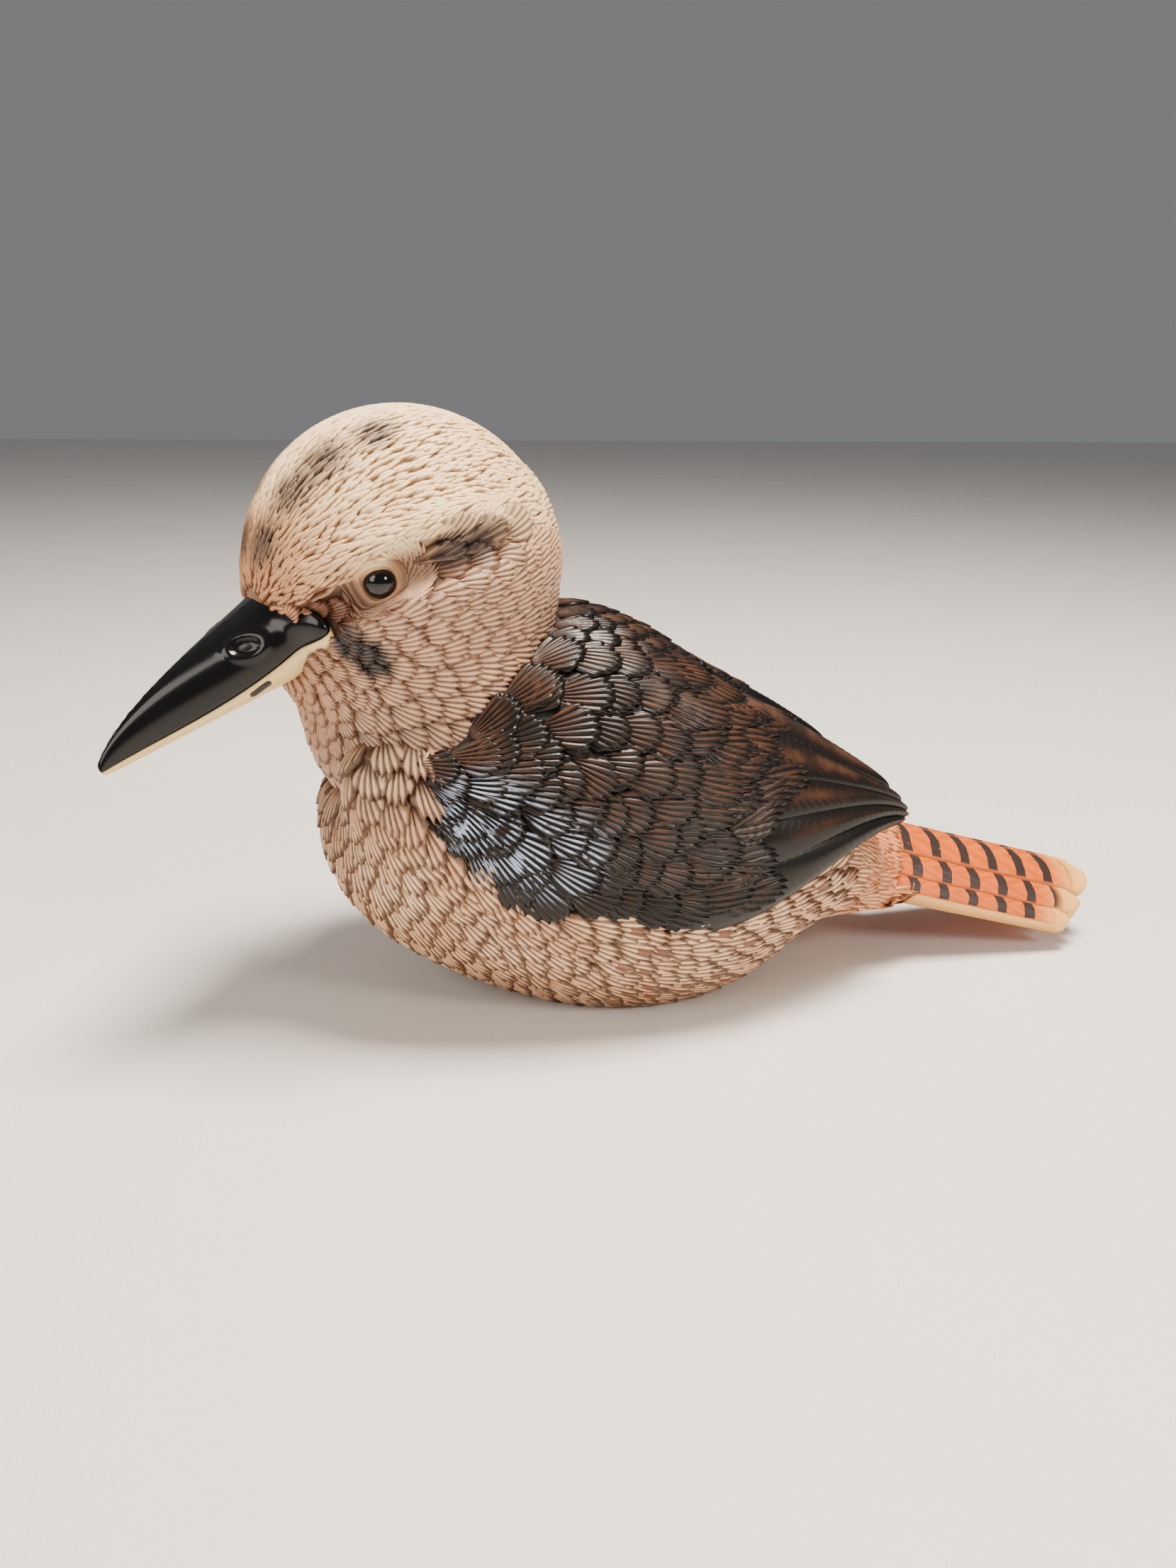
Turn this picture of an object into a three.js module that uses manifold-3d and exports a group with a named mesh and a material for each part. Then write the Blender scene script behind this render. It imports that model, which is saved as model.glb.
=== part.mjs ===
// A hand-painted cast resin figure of a laughing kookaburra. It sits on its flat belly with no legs showing,
// its wings folded, its tail sloping down behind it and its head turned to its left.
// Millimetres. +Z is up, the bill points to -X and the bird's left side is -Y. The origin is on the table.

import * as THREE from "three";
import { mergeVertices } from "three/addons/utils/BufferGeometryUtils.js";
import Module from "manifold-3d";

const wasm = await Module();
wasm.setup();

// Driving sizes of the whole figure
const GAP = 0.3; // between neighbouring pieces
const SHIFT_X = -7.4; // moves the figure so that its bounding box is centred over the origin
const HEAD_CENTRE = [-51, 0, 100.5]; // the middle of the skull, before the head turns
const HEAD_TURN = 22; // degrees, to the bird's left
const NECK_X = -40; // the turn's upright axis
const NECK_TOP = -17; // where the neck ends, in the head's frame, below its middle
const NECK_SLOPE = 15; // degrees that this line rises towards the nape

// The bill, measured along the line of the mouth
const BILL_LENGTH = 51; // from the corner of the mouth to the tip
const BILL_DIP = 33; // degrees below level
const BILL_AT = [-23.5, 0, -6.5]; // the corner of the mouth, in the head's frame
const BILL_ROOT = 10; // how far it runs on inside the head
const BILL_HALF_WIDTH = 16;
const UPPER_DEPTH = 7;
const LOWER_DEPTH = 12;
const NOSTRIL = { along: 0.3, up: 0.5, length: 4.6, height: 1.7, depth: 1.3 };

// The eyes, in the head's frame for the right one
const EYE_AT = [-17, 25.5, 1];
const EYE_RADIUS = 3.3;
const EYE_SUNK = 2.6; // from the middle of the ball to the skin of the head
// The hollow under each brow, from beside the bill past the eye to the back of the cheek
const BROW_LINE = [[-27, 16, -7], [-17, 25.5, 0], [-7, 30, 4], [6, 32, 8]];
const BROW_HOLLOW = { half: 7, depth: 1.7 };

// The wings, on the bird's right side. Their sheets follow the skin of the body.
const WING_FRONT_X = -49;
const WING_TIP_X = 67;
const WING_HEIGHT = 1.2; // of the wing over the skin of the body
const WING_DEPTH = 5; // of the wing's root in the body
// Its edges, in degrees from the top of the back round to the side
const WING_UPPER = { front: 62, middle: 20, tip: 48 };
const WING_LOWER = { front: 86, middle: 123, tip: 76 };
// The line that these angles turn about, and how far out the skin is looked for from it
const WING_AXIS_Z = [52, 38];
const WING_REACH = [45, 26];

// Feathers of the wings. Shares run from the shoulder to the wing's tip and from its upper to its lower edge.
const COVERT_LANES = 6;
const COVERT_STEP = 0.11; // from one covert to the next in its lane
const COVERT_LENGTH = 0.16;
const COVERT_HALF = 0.58; // half its width, in lanes
const COVERTS_START = 0.015;
const SHOULDER_END = 0.12; // up to here the wing's edges bend sharply
const COVERTS_INSET = 0.035; // from the edges of the wing to the outer lanes
const COVERTS_END = 0.56;
const COVERT_RISE = 1.1; // of its tip over the wing
const FLIGHT_LANES = 5;
const FLIGHT_HALF = 0.66;
const FLIGHT_START = 0.52;
const FLIGHT_RISE = 1.5;
const VANE_SUNK = 0.35; // how far the root of a vane lies under the wing
const VANE_CROWN = 0.4; // how much higher its middle is than its edges
const VANE_BOTTOM = 0.75; // over the skin of the body

// The tail
const TAIL_ROOT = [46, 38];
const TAIL_TIP = [127, 15];
const TAIL_HALF_WIDTH = [14, 17]; // at the root and at the tip
const TAIL_DROP = 12.5; // how much lower its sides lie than its middle
const TAIL_ROUNDING = 0.16; // how much shorter its sides are, as a share of its length
const TAIL_THICKNESS = 2.6;
const TAIL_FEATHERS = 6;
const TAIL_RISE = 0.7; // of each feather over the one outside it
const TAIL_FEATHERS_START = 0.14; // as a share of its length

const rad = THREE.MathUtils.degToRad;
const { clamp, lerp, smoothstep } = THREE.MathUtils;
const vec = (x, y, z) => new THREE.Vector3(x, y, z);

// Rounded forms. Each is a function that gives the rough distance in mm from a point to the form's surface,
// negative inside it.
function egg(centre, radii, { tilt = 0, yaw = 0, roll = 0 } = {}) {
  const [rx, ry, rz] = radii;
  const turn = new THREE.Quaternion().setFromEuler(new THREE.Euler(rad(roll), rad(tilt), rad(yaw), "ZYX"));
  turn.invert();
  const q = vec();
  return (p) => {
    q.copy(p).sub(vec(...centre)).applyQuaternion(turn);
    const near = Math.hypot(q.x / rx, q.y / ry, q.z / rz);
    const slope = Math.hypot(q.x / (rx * rx), q.y / (ry * ry), q.z / (rz * rz));
    return (near * (near - 1)) / Math.max(slope, 1e-9);
  };
}

function softMin(a, b, width) {
  const h = Math.max(width - Math.abs(a - b), 0) / width;
  return Math.min(a, b) - (h * h * width) / 4;
}

const blend = (width, ...forms) => (p) => forms.map((f) => f(p)).reduce((a, b) => softMin(a, b, width));
const flipY = (p) => vec(p.x, -p.y, p.z);
const twin = (form) => (p) => Math.min(form(p), form(flipY(p)));

// The body: breast, belly, back and rump, and the swell under each folded wing
const wingSwell = (length) =>
  twin(egg([length - 66, 21, 49], [length, 15, 24], { tilt: 14, yaw: -6, roll: 14 }));
const trunk = blend(
  12,
  egg([-33, 0, 43], [37, 34, 35], { tilt: 8 }),
  egg([0, 0, 27], [48, 37, 33], { tilt: 2 }),
  egg([-9, 0, 54], [45, 37, 33], { tilt: 34 }),
  egg([32, 0, 35], [38, 27, 16], { tilt: 20 }),
  egg([48, 0, 33], [22, 16, 9], { tilt: 18 }),
);
const bodyForm = blend(12, trunk, wingSwell(56));
const wingForm = blend(12, trunk, wingSwell(68));

// The head and throat, in the head's own frame: its origin is the middle of the skull and it faces to -X
const skullForm = blend(
  8,
  egg([0.4, 0, 0.3], [33.4, 30.5, 32.4]),
  egg([-7, 0, -7], [24, 21, 21], { tilt: -20 }),
  egg([5, 0, -18], [26, 26, 20], { tilt: 12 }),
  egg([5, 0, -33], [26, 31, 25]),
);

function headPoint(p) {
  return p
    .clone()
    .add(vec(...HEAD_CENTRE))
    .sub(vec(NECK_X, 0, 0))
    .applyAxisAngle(vec(0, 0, 1), rad(HEAD_TURN))
    .add(vec(NECK_X, 0, 0));
}

// Closed meshes and solids
function bare(geometry) {
  geometry.deleteAttribute("normal");
  geometry.deleteAttribute("uv");
  return mergeVertices(geometry, 1e-4);
}

function mapped(geometry, move) {
  const place = geometry.attributes.position;
  for (let i = 0; i < place.count; i++) {
    const p = move(vec().fromBufferAttribute(place, i));
    place.setXYZ(i, p.x, p.y, p.z);
  }
  return geometry;
}

function solid(geometry) {
  const vertProperties = Float32Array.from(geometry.attributes.position.array);
  const triVerts = Uint32Array.from(geometry.index.array);
  return new wasm.Manifold(new wasm.Mesh({ numProp: 3, vertProperties, triVerts }));
}

const joined = (...pieces) => pieces.flat().reduce((a, b) => a.add(b));
const cut = (body, ...cutters) => cutters.flat().reduce((a, b) => a.subtract(b), body);
const largest = (body) => body.decompose().reduce((a, b) => (a.volume() > b.volume() ? a : b));

function geometryOf(body) {
  const mesh = body.getMesh();
  const geometry = new THREE.BufferGeometry();
  geometry.setAttribute("position", new THREE.BufferAttribute(Float32Array.from(mesh.vertProperties), 3));
  geometry.setIndex(new THREE.BufferAttribute(Uint32Array.from(mesh.triVerts), 1));
  return geometry;
}

// A ball of triangles moved out to where each ray from its centre meets the form at that level
const REACH = 200;
function surfaceAlong(form, from, way, level) {
  let near = 0;
  let far = REACH;
  const p = vec();
  while (far - near > 1e-4) {
    const middle = (near + far) / 2;
    p.copy(way).multiplyScalar(middle).add(from);
    if (form(p) < level) near = middle;
    else far = middle;
  }
  return p.clone();
}

function ballOnForm(form, centre, detail, level = 0) {
  const ball = bare(new THREE.IcosahedronGeometry(1, detail));
  return mapped(ball, (p) => surfaceAlong(form, vec(...centre), p.normalize(), level));
}

function boxBetween(low, high) {
  const size = high.map((value, i) => value - low[i]);
  const box = bare(new THREE.BoxGeometry(...size));
  return box.translate(...low.map((value, i) => value + size[i] / 2));
}

// A thin closed sheet with its two faces split alike. place(t, a, top) puts the point that lies at t along
// it, 0 to 1, and at a across it, -1 to 1, on its top or its bottom face.
function sheet(alongSteps, acrossSteps, place) {
  const face = new THREE.PlaneGeometry(1, 2, alongSteps, acrossSteps);
  const count = face.attributes.position.count;
  const points = [];
  for (const top of [true, false]) {
    for (let i = 0; i < count; i++) {
      const p = vec().fromBufferAttribute(face.attributes.position, i);
      points.push(...place(p.x + 0.5, p.y, top).toArray());
    }
  }
  const index = [];
  const tops = face.index.array;
  for (let i = 0; i < tops.length; i += 3) {
    index.push(tops[i], tops[i + 1], tops[i + 2]);
    index.push(tops[i] + count, tops[i + 2] + count, tops[i + 1] + count);
  }
  const row = alongSteps + 1;
  const rim = [];
  for (let i = 0; i < alongSteps; i++) rim.push(i);
  for (let j = 0; j < acrossSteps; j++) rim.push(j * row + alongSteps);
  for (let i = alongSteps; i > 0; i--) rim.push(acrossSteps * row + i);
  for (let j = acrossSteps; j > 0; j--) rim.push(j * row);
  rim.forEach((a, i) => {
    const b = rim[(i + 1) % rim.length];
    index.push(a, b, a + count, b, b + count, a + count);
  });
  const geometry = new THREE.BufferGeometry();
  geometry.setAttribute("position", new THREE.BufferAttribute(Float32Array.from(points), 3));
  geometry.setIndex(facingOut(points, index));
  return geometry;
}

// The same triangles, turned round if they enclose their volume from the wrong side
function facingOut(points, index) {
  const corner = (i) => vec(...points.slice(3 * i, 3 * i + 3));
  let volume = 0;
  for (let i = 0; i < index.length; i += 3) {
    volume += corner(index[i]).dot(corner(index[i + 1]).cross(corner(index[i + 2])));
  }
  return volume > 0 ? index : index.reverse();
}

// The nearest point of a form's skin, found by steps down its slope, and the way out of the skin there
const STEP = 0.05;
function slopeAt(form, p) {
  const at = form(p);
  const dx = form(vec(p.x + STEP, p.y, p.z)) - at;
  const dy = form(vec(p.x, p.y + STEP, p.z)) - at;
  const dz = form(vec(p.x, p.y, p.z + STEP)) - at;
  return vec(dx, dy, dz).divideScalar(STEP);
}

function onSkin(form, start, level = 0) {
  const p = start.clone();
  for (let i = 0; i < 12; i++) {
    const slope = slopeAt(form, p);
    const off = clamp(form(p) - level, -4, 4);
    p.addScaledVector(slope, -off / Math.max(slope.lengthSq(), 0.05));
  }
  return { at: p, out: slopeAt(form, p).normalize() };
}

const group = new THREE.Group();
group.position.x = SHIFT_X;

function addMesh(name, geometry, colour, roughness = 0.6) {
  const mesh = new THREE.Mesh(geometry, new THREE.MeshStandardMaterial({ color: colour, roughness }));
  mesh.name = name;
  group.add(mesh);
}

// The wings. A point of a wing is given by its share of the way from the shoulder to the tip, by its share of
// the way from the upper edge to the lower, and by its height over the skin.
function wingPoint(along, down, height) {
  const t = clamp(along, 0, 1);
  const edge = ({ front, middle, tip }, spread, taper) =>
    lerp(front, middle, smoothstep(t, ...spread)) + (tip - middle) * smoothstep(t, ...taper);
  const upper = edge(WING_UPPER, [0, 0.25], [0.6, 1]);
  const lower = edge(WING_LOWER, [-0.05, 0.22], [0.5, 1.05]);
  const turn = rad(lerp(upper, lower, down));
  const x = lerp(WING_FRONT_X, WING_TIP_X, along);
  const reach = lerp(...WING_REACH, smoothstep(x, 0, WING_TIP_X));
  const axisZ = lerp(...WING_AXIS_Z, t);
  const start = vec(x, reach * Math.sin(turn), axisZ + 0.8 * reach * Math.cos(turn));
  const { at, out } = onSkin(wingForm, start);
  return at.addScaledVector(out, height);
}

// The plain wing, or the bed for it, which stands clear of it on all sides
function wingSheet(grow) {
  const end = grow / (WING_TIP_X - WING_FRONT_X);
  return sheet(19, 7, (t, a, top) => {
    const side = (1 - a * (1 + grow / 10)) / 2;
    const depth = WING_DEPTH * (1 - 0.55 * smoothstep(t, 0.7, 1)) + grow;
    const height = grow > 0 ? 2 * WING_DEPTH : WING_HEIGHT;
    return wingPoint(lerp(-end, 1 + end, t), side, top ? height : -depth);
  });
}

// A vane of the wing, from its sunk root to its raised round tip
const ROUND_FROM = 0.5;
function wingVane(along, down, length, half, rise, steps) {
  return sheet(steps, 2, (share, a, top) => {
    const t = Math.pow(share, 0.8);
    const past = Math.max((t - ROUND_FROM) / (1 - ROUND_FROM), 0);
    const width = lerp(0.85, 1, Math.min(t / ROUND_FROM, 1)) * Math.sqrt(1 - 0.75 * past * past);
    const back = 0.12 * length * a * a * past;
    const side = down + a * half * width;
    const height = WING_HEIGHT + lerp(-VANE_SUNK, rise, t) + VANE_CROWN * t * (1 - a * a);
    return wingPoint(along + t * length - back, side, top ? height : VANE_BOTTOM - 0.1 * down + 0.05 * t);
  });
}

function coverts() {
  const vanes = [];
  for (let lane = 0; lane < COVERT_LANES; lane++) {
    const first = COVERTS_START + (lane % 2 ? -0.5 : 0) * COVERT_STEP;
    for (let along = first; along < COVERTS_END; along += COVERT_STEP) {
      const start = Math.max(along, COVERTS_START * (1 + 0.1 * lane));
      const half = (COVERT_HALF / COVERT_LANES) * (1 + 0.2 * smoothstep(along, 0.2, COVERTS_END));
      const down = lerp(COVERTS_INSET, 1 - COVERTS_INSET, (lane + 0.5) / COVERT_LANES);
      const steps = start < SHOULDER_END ? 3 : 2;
      vanes.push(wingVane(start, down, along + COVERT_LENGTH - start, half, COVERT_RISE, steps));
    }
  }
  return vanes;
}

function flightFeathers() {
  const vanes = [];
  for (let lane = 0; lane < FLIGHT_LANES; lane++) {
    const down = (lane + 0.5) / FLIGHT_LANES;
    const end = 1 - 0.1 * Math.abs(down - 0.3);
    const rise = FLIGHT_RISE - 0.2 * lane;
    vanes.push(wingVane(FLIGHT_START, down, end - FLIGHT_START, FLIGHT_HALF / FLIGHT_LANES, rise, 5));
  }
  return vanes;
}

// The tail, an arched fan: a point at t along it, at a across it, -1 to 1, and at a height over its middle
function tailPoint(t, a, height) {
  const half = lerp(...TAIL_HALF_WIDTH, t);
  const drop = TAIL_DROP * Math.pow(Math.abs(a), 1.8);
  const x = lerp(TAIL_ROOT[0], TAIL_TIP[0], t);
  return vec(x, a * half, lerp(TAIL_ROOT[1], TAIL_TIP[1], t) - drop + height);
}

function tailPlate(grow) {
  const side = 0.95 + (2 * grow) / TAIL_HALF_WIDTH[0];
  const end = grow / (TAIL_TIP[0] - TAIL_ROOT[0]);
  const cover = grow > 0 ? grow + 4 * TAIL_RISE : 0;
  return sheet(10, 10, (t, a, top) => {
    const along = lerp(-end, 0.96 - TAIL_ROUNDING * a * a + end, t);
    return tailPoint(along, a * side, top ? TAIL_THICKNESS / 2 + cover : -TAIL_THICKNESS / 2 - grow);
  });
}

// Each tail feather lies over the one outside it, from the middle pair down to the sides
const TAIL_TIP_FROM = 0.8;
function tailFeather(index) {
  const middle = (2 * index + 1) / TAIL_FEATHERS - 1;
  const tier = (TAIL_FEATHERS - 1) / 2 - Math.abs(index - (TAIL_FEATHERS - 1) / 2) + 0.1 * (index % 2);
  const end = 1 - TAIL_ROUNDING * middle * middle;
  return sheet(9, 2, (share, a, top) => {
    const t = Math.pow(share, 0.8);
    const tip = Math.max((t - TAIL_TIP_FROM) / (1.06 - TAIL_TIP_FROM), 0);
    const across = middle + (a / TAIL_FEATHERS) * (0.94 + 0.12 * t) * Math.sqrt(1 - tip * tip);
    const rise = lerp(-0.5, TAIL_RISE * (0.5 + 0.5 * tier), Math.min(4 * t, 1)) + 0.3 * (1 - a * a);
    const bottom = TAIL_THICKNESS / 2 - 0.3 - 0.05 * tier;
    return tailPoint(lerp(TAIL_FEATHERS_START, end, t), across, top ? TAIL_THICKNESS / 2 + rise : -bottom);
  });
}

// The bill
const billWidth = (t) => BILL_HALF_WIDTH * (0.045 + 0.955 * Math.pow(1 - clamp(t, 0, 1), 1.2));
const upperDepth = (t) => UPPER_DEPTH * (0.07 + 0.93 * Math.pow(1 - Math.pow(clamp(t, 0, 1), 2), 0.68));
const lowerDepth = (t) => LOWER_DEPTH * (0.08 + 0.92 * Math.pow(1 - clamp(t, 0, 1), 0.8));

function billPoint(along, y, z) {
  const p = vec(-along, y, z).applyAxisAngle(vec(0, 1, 0), rad(-BILL_DIP));
  return headPoint(p.add(vec(...BILL_AT)));
}

// A mandible, a bar of half-round sections that is flat along the mouth
function mandible(widthOf, depthOf, side, grow = 0) {
  const bar = bare(new THREE.CylinderGeometry(1, 1, 1, 20, 12));
  mapped(bar, (p) => {
    const ring = Math.hypot(p.x, p.z);
    const turn = Math.atan2(p.z, p.x);
    const t = Math.sin(rad(90 * (0.5 - p.y)));
    const along = lerp(-BILL_ROOT - grow, BILL_LENGTH + grow, t);
    const share = along / BILL_LENGTH;
    const round = lerp(0.4, Math.pow(Math.max(Math.sin(turn), 0), 0.85), ring);
    const y = ring * (widthOf(share) + grow) * Math.cos(turn);
    const z = side * (GAP / 2 - grow + (depthOf(share) + 2 * grow) * round);
    return billPoint(along, -side * y, z);
  });
  return bar;
}

const nostril = (side) => {
  const t = NOSTRIL.along;
  const pit = bare(new THREE.IcosahedronGeometry(1, 2));
  pit.scale(NOSTRIL.length / 2, NOSTRIL.depth, NOSTRIL.height / 2);
  const y = side * billWidth(t) * Math.sqrt(1 - NOSTRIL.up * NOSTRIL.up);
  return mapped(pit, (p) => billPoint(t * BILL_LENGTH - p.x, y + p.y, NOSTRIL.up * upperDepth(t) + p.z));
};

const upperBill = mandible(billWidth, upperDepth, 1);
const lowerBill = mandible((t) => 0.94 * billWidth(t), lowerDepth, -1);
const billBed = [
  solid(mandible(billWidth, upperDepth, 1, GAP)),
  solid(mandible((t) => 0.94 * billWidth(t), lowerDepth, -1, GAP)),
];

// The head, with a hollow under each brow, and beds for the bill and the eyes
const EYES = { eye_right: 1, eye_left: -1 };
const eyeSkin = onSkin(skullForm, vec(...EYE_AT));
function eyePoint(side, out, p) {
  const at = eyeSkin.at.clone().addScaledVector(eyeSkin.out, out);
  return headPoint(vec(at.x, at.y * side, at.z).add(p));
}
const eyeBall = (side, grow, detail) =>
  mapped(bare(new THREE.IcosahedronGeometry(EYE_RADIUS + grow, detail)), (p) => eyePoint(side, -EYE_SUNK, p));
const browLine = new THREE.CatmullRomCurve3(BROW_LINE.map((spot) => vec(...spot)));
function browHollow(side) {
  return sheet(8, 6, (t, a, top) => {
    const { at, out } = onSkin(skullForm, browLine.getPoint(t).add(vec(0, 0, a * BROW_HOLLOW.half)));
    const sunk = BROW_HOLLOW.depth * Math.pow(1 - a * a, 2) * Math.sin(Math.PI * t);
    at.addScaledVector(out, top ? BROW_HOLLOW.depth : 0.4 - sunk);
    return headPoint(vec(at.x, side * at.y, at.z));
  });
}
const skull = solid(mapped(ballOnForm(skullForm, [0, 0, -8], 9), headPoint));
const headCut = solid(mapped(ballOnForm(skullForm, [0, 0, -8], 8, GAP), headPoint));
const faceCuts = Object.values(EYES).flatMap((side) => [
  eyeBall(side, GAP, 3),
  browHollow(side),
]);

// The neck is the part of the head's form below a sloping plane
const neckPlane = (low) => {
  const block = boxBetween([-90, -90, low ? -120 : NECK_TOP], [90, 90, low ? NECK_TOP - GAP : 120]);
  return solid(mapped(block.rotateY(rad(-NECK_SLOPE)), headPoint));
};
const neck = skull.intersect(neckPlane(true));
const head = cut(skull.intersect(neckPlane(false)), billBed, faceCuts.map(solid));

const wing = joined(solid(wingSheet(0)), [...coverts(), ...flightFeathers()].map(solid));
const wingRight = cut(wing, headCut);
const wingLeft = cut(wing.mirror([0, 1, 0]), headCut);
const wingBed = solid(wingSheet(GAP));
const tailFeathers = Array.from({ length: TAIL_FEATHERS }, (_, i) => solid(tailFeather(i)));
const tail = joined(solid(tailPlate(0)), tailFeathers);
const ground = solid(boxBetween([-200, -200, -100], [200, 200, 0]));
const body = solid(ballOnForm(bodyForm, [0, 0, 40], 9));
const torso = cut(body, ground, headCut, wingBed, wingBed.mirror([0, 1, 0]), solid(tailPlate(GAP)));

addMesh("torso", geometryOf(largest(torso)), 0xcaa98a);
addMesh("neck", geometryOf(largest(cut(neck, billBed))), 0xcfae90);
addMesh("head", geometryOf(largest(head)), 0xd8b79a);
const upperCut = cut(solid(upperBill), [1, -1].map((side) => solid(nostril(side))));
addMesh("bill_upper", geometryOf(largest(upperCut)), 0x1c1b1b, 0.25);
addMesh("bill_lower", lowerBill, 0xe8d39a, 0.35);
for (const [name, side] of Object.entries(EYES)) addMesh(name, eyeBall(side, 0, 3), 0x0b0b0c, 0.1);
addMesh("wing_right", geometryOf(largest(wingRight)), 0x4a3a30);
addMesh("wing_left", geometryOf(largest(wingLeft)), 0x4a3a30);
addMesh("tail", geometryOf(largest(tail)), 0xd87838);

export default group;
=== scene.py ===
import math
from functools import reduce

import bmesh
import bpy
import numpy as np
from mathutils import Euler, Matrix, Vector
from mathutils.kdtree import KDTree


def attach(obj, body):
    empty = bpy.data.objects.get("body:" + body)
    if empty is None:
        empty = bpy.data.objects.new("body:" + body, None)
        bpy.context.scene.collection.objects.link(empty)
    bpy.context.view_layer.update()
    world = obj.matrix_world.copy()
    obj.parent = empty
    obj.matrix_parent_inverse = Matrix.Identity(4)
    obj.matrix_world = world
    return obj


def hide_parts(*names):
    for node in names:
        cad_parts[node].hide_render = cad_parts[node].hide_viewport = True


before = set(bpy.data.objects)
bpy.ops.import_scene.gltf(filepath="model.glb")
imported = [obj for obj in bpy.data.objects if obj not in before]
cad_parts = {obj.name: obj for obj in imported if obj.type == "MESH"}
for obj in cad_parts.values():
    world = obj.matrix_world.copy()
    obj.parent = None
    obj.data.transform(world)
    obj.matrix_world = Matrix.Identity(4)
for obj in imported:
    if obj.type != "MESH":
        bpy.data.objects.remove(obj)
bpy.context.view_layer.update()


# The casting. Body, head, wings and tail are one hollow shell of resin out of one mould, left smooth
# here where the raised feathers lie on it. The same egg shapes as in the solids are blended together, in
# millimetres.
MM = 0.001
SHIFT = np.array((-7.4, 0.0, 0.0))
COAT, HEAD_COAT = 0.7, 0.5  # how deep the bare casting lies under body_form and skull_form
BODY_CENTRE = np.array((0.0, 0.0, 40.0))
SKULL_CENTRE = np.array((0.0, 0.0, -8.0))
HEAD_CENTRE = np.array((-51.0, 0.0, 100.5))
HEAD_TURN = math.radians(22)
NECK_X = -40.0
SKIN_VOXEL = 0.88


def lerp(a, b, t):
    return a + (b - a) * t


def smoothstep(t, low, high):
    t = np.clip((t - low) / (high - low), 0, 1)
    return t * t * (3 - 2 * t)


def unit(v):
    return v / np.maximum(np.linalg.norm(v, axis=-1, keepdims=True), 1e-9)


def egg(centre, radii, tilt=0, yaw=0, roll=0):
    turn = np.array(Euler([math.radians(angle) for angle in (roll, tilt, yaw)]).to_matrix())
    centre, radii = np.array(centre, float), np.array(radii, float)

    def form(p):
        q = (p - centre) @ turn
        near = np.linalg.norm(q / radii, axis=-1)
        slope = np.linalg.norm(q / radii**2, axis=-1)
        return near * (near - 1) / np.maximum(slope, 1e-9)

    return form


def soft_min(a, b, width):
    h = np.maximum(width - np.abs(a - b), 0) / width
    return np.minimum(a, b) - h * h * width / 4


def blend(width, *forms):
    return lambda p: reduce(lambda a, b: soft_min(a, b, width), [form(p) for form in forms])


def carved(form, cutter, width):
    return lambda p: -soft_min(-form(p), cutter(p), width)


def mirrored(p):
    return p * np.array((1, -1, 1))


def slope_of(form, p, step=0.05):
    at = form(p)
    return np.stack([form(p + step * axis) - at for axis in np.eye(3)], -1) / step


def on_skin(form, start, level=0.0, steps=8):
    """The points of the form nearest to some starting points, and the way out of it there."""
    p = np.array(start, float)
    for _ in range(steps):
        slope = slope_of(form, p)
        off = np.clip(form(p) - level, -4, 4) / np.maximum((slope**2).sum(-1), 0.05)
        p -= slope * off[..., None]
    return p, unit(slope_of(form, p))


def wing_swell(length):
    swell = egg((length - 66, 21, 49), (length, 15, 24), tilt=14, yaw=-6, roll=14)
    return lambda p: np.minimum(swell(p), swell(mirrored(p)))


trunk = (
    egg((-33, 0, 43), (37, 34, 35), tilt=8),
    egg((0, 0, 27), (48, 37, 33), tilt=2),
    egg((-9, 0, 54), (45, 37, 33), tilt=34),
    egg((32, 0, 35), (38, 27, 16), tilt=20),
)
body_form = blend(12, blend(12, *trunk, egg((45, 0, 31.5), (18, 14, 8), tilt=18)), wing_swell(56))
wing_form = blend(12, blend(12, *trunk, egg((48, 0, 33), (22, 16, 9), tilt=18)), wing_swell(68))

# The head's own frame has its origin in the middle of the skull, and the bird faces to -X in it. Each
# eye looks out of a hollow that runs from the gape up behind the eye, under a brow that stands out over
# it like a shelf.
HOLLOW_LINE = np.array(
    ((-26, 17, -6.5), (-22, 22.5, -2.5), (-16, 26, 0.5), (-8, 29, 3.6), (2, 30, 6), (8, 29.5, 8))
)
HOLLOW_RADIUS, HOLLOW_OUT = 5.2, 3.2
BROW_LINE = np.array(((-27, 16, 0.5), (-21.5, 21.5, 5), (-15, 25, 9), (-7, 27.5, 12.5), (2, 28, 14.5)))
BROW_RADIUS, BROW_SUNK = 3.2, 2.0
EYE_SEAT = (-17.0, 25.5, 1.0)
whole_skull = blend(
    8,
    egg((0.4, 0, 0.3), (33.4, 30.5, 32.4)),
    egg((-7, 0, -7), (24, 21, 21), tilt=-20),
    egg((5, 0, -18), (26, 26, 20), tilt=12),
    egg((5, 0, -33), (26, 31, 25)),
)


def rope(points, radius):
    """A round cord laid through some points on one side, and through their mirror images on the other."""

    def form(p):
        q = np.stack([p[..., 0], np.abs(p[..., 1]), p[..., 2]], -1)
        near = []
        for a, b in zip(points[:-1], points[1:]):
            share = np.clip((q - a) @ (b - a) / ((b - a) @ (b - a)), 0, 1)
            near.append(np.linalg.norm(q - a - share[..., None] * (b - a), axis=-1))
        return reduce(np.minimum, near) - radius

    return form


hollow_at, hollow_out = on_skin(whole_skull, HOLLOW_LINE)
brow_at, brow_out = on_skin(whole_skull, BROW_LINE)
browed_skull = blend(3, whole_skull, rope(brow_at - BROW_SUNK * brow_out, BROW_RADIUS))
skull_form = carved(browed_skull, rope(hollow_at + HOLLOW_OUT * hollow_out, HOLLOW_RADIUS), 1.2)


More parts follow.
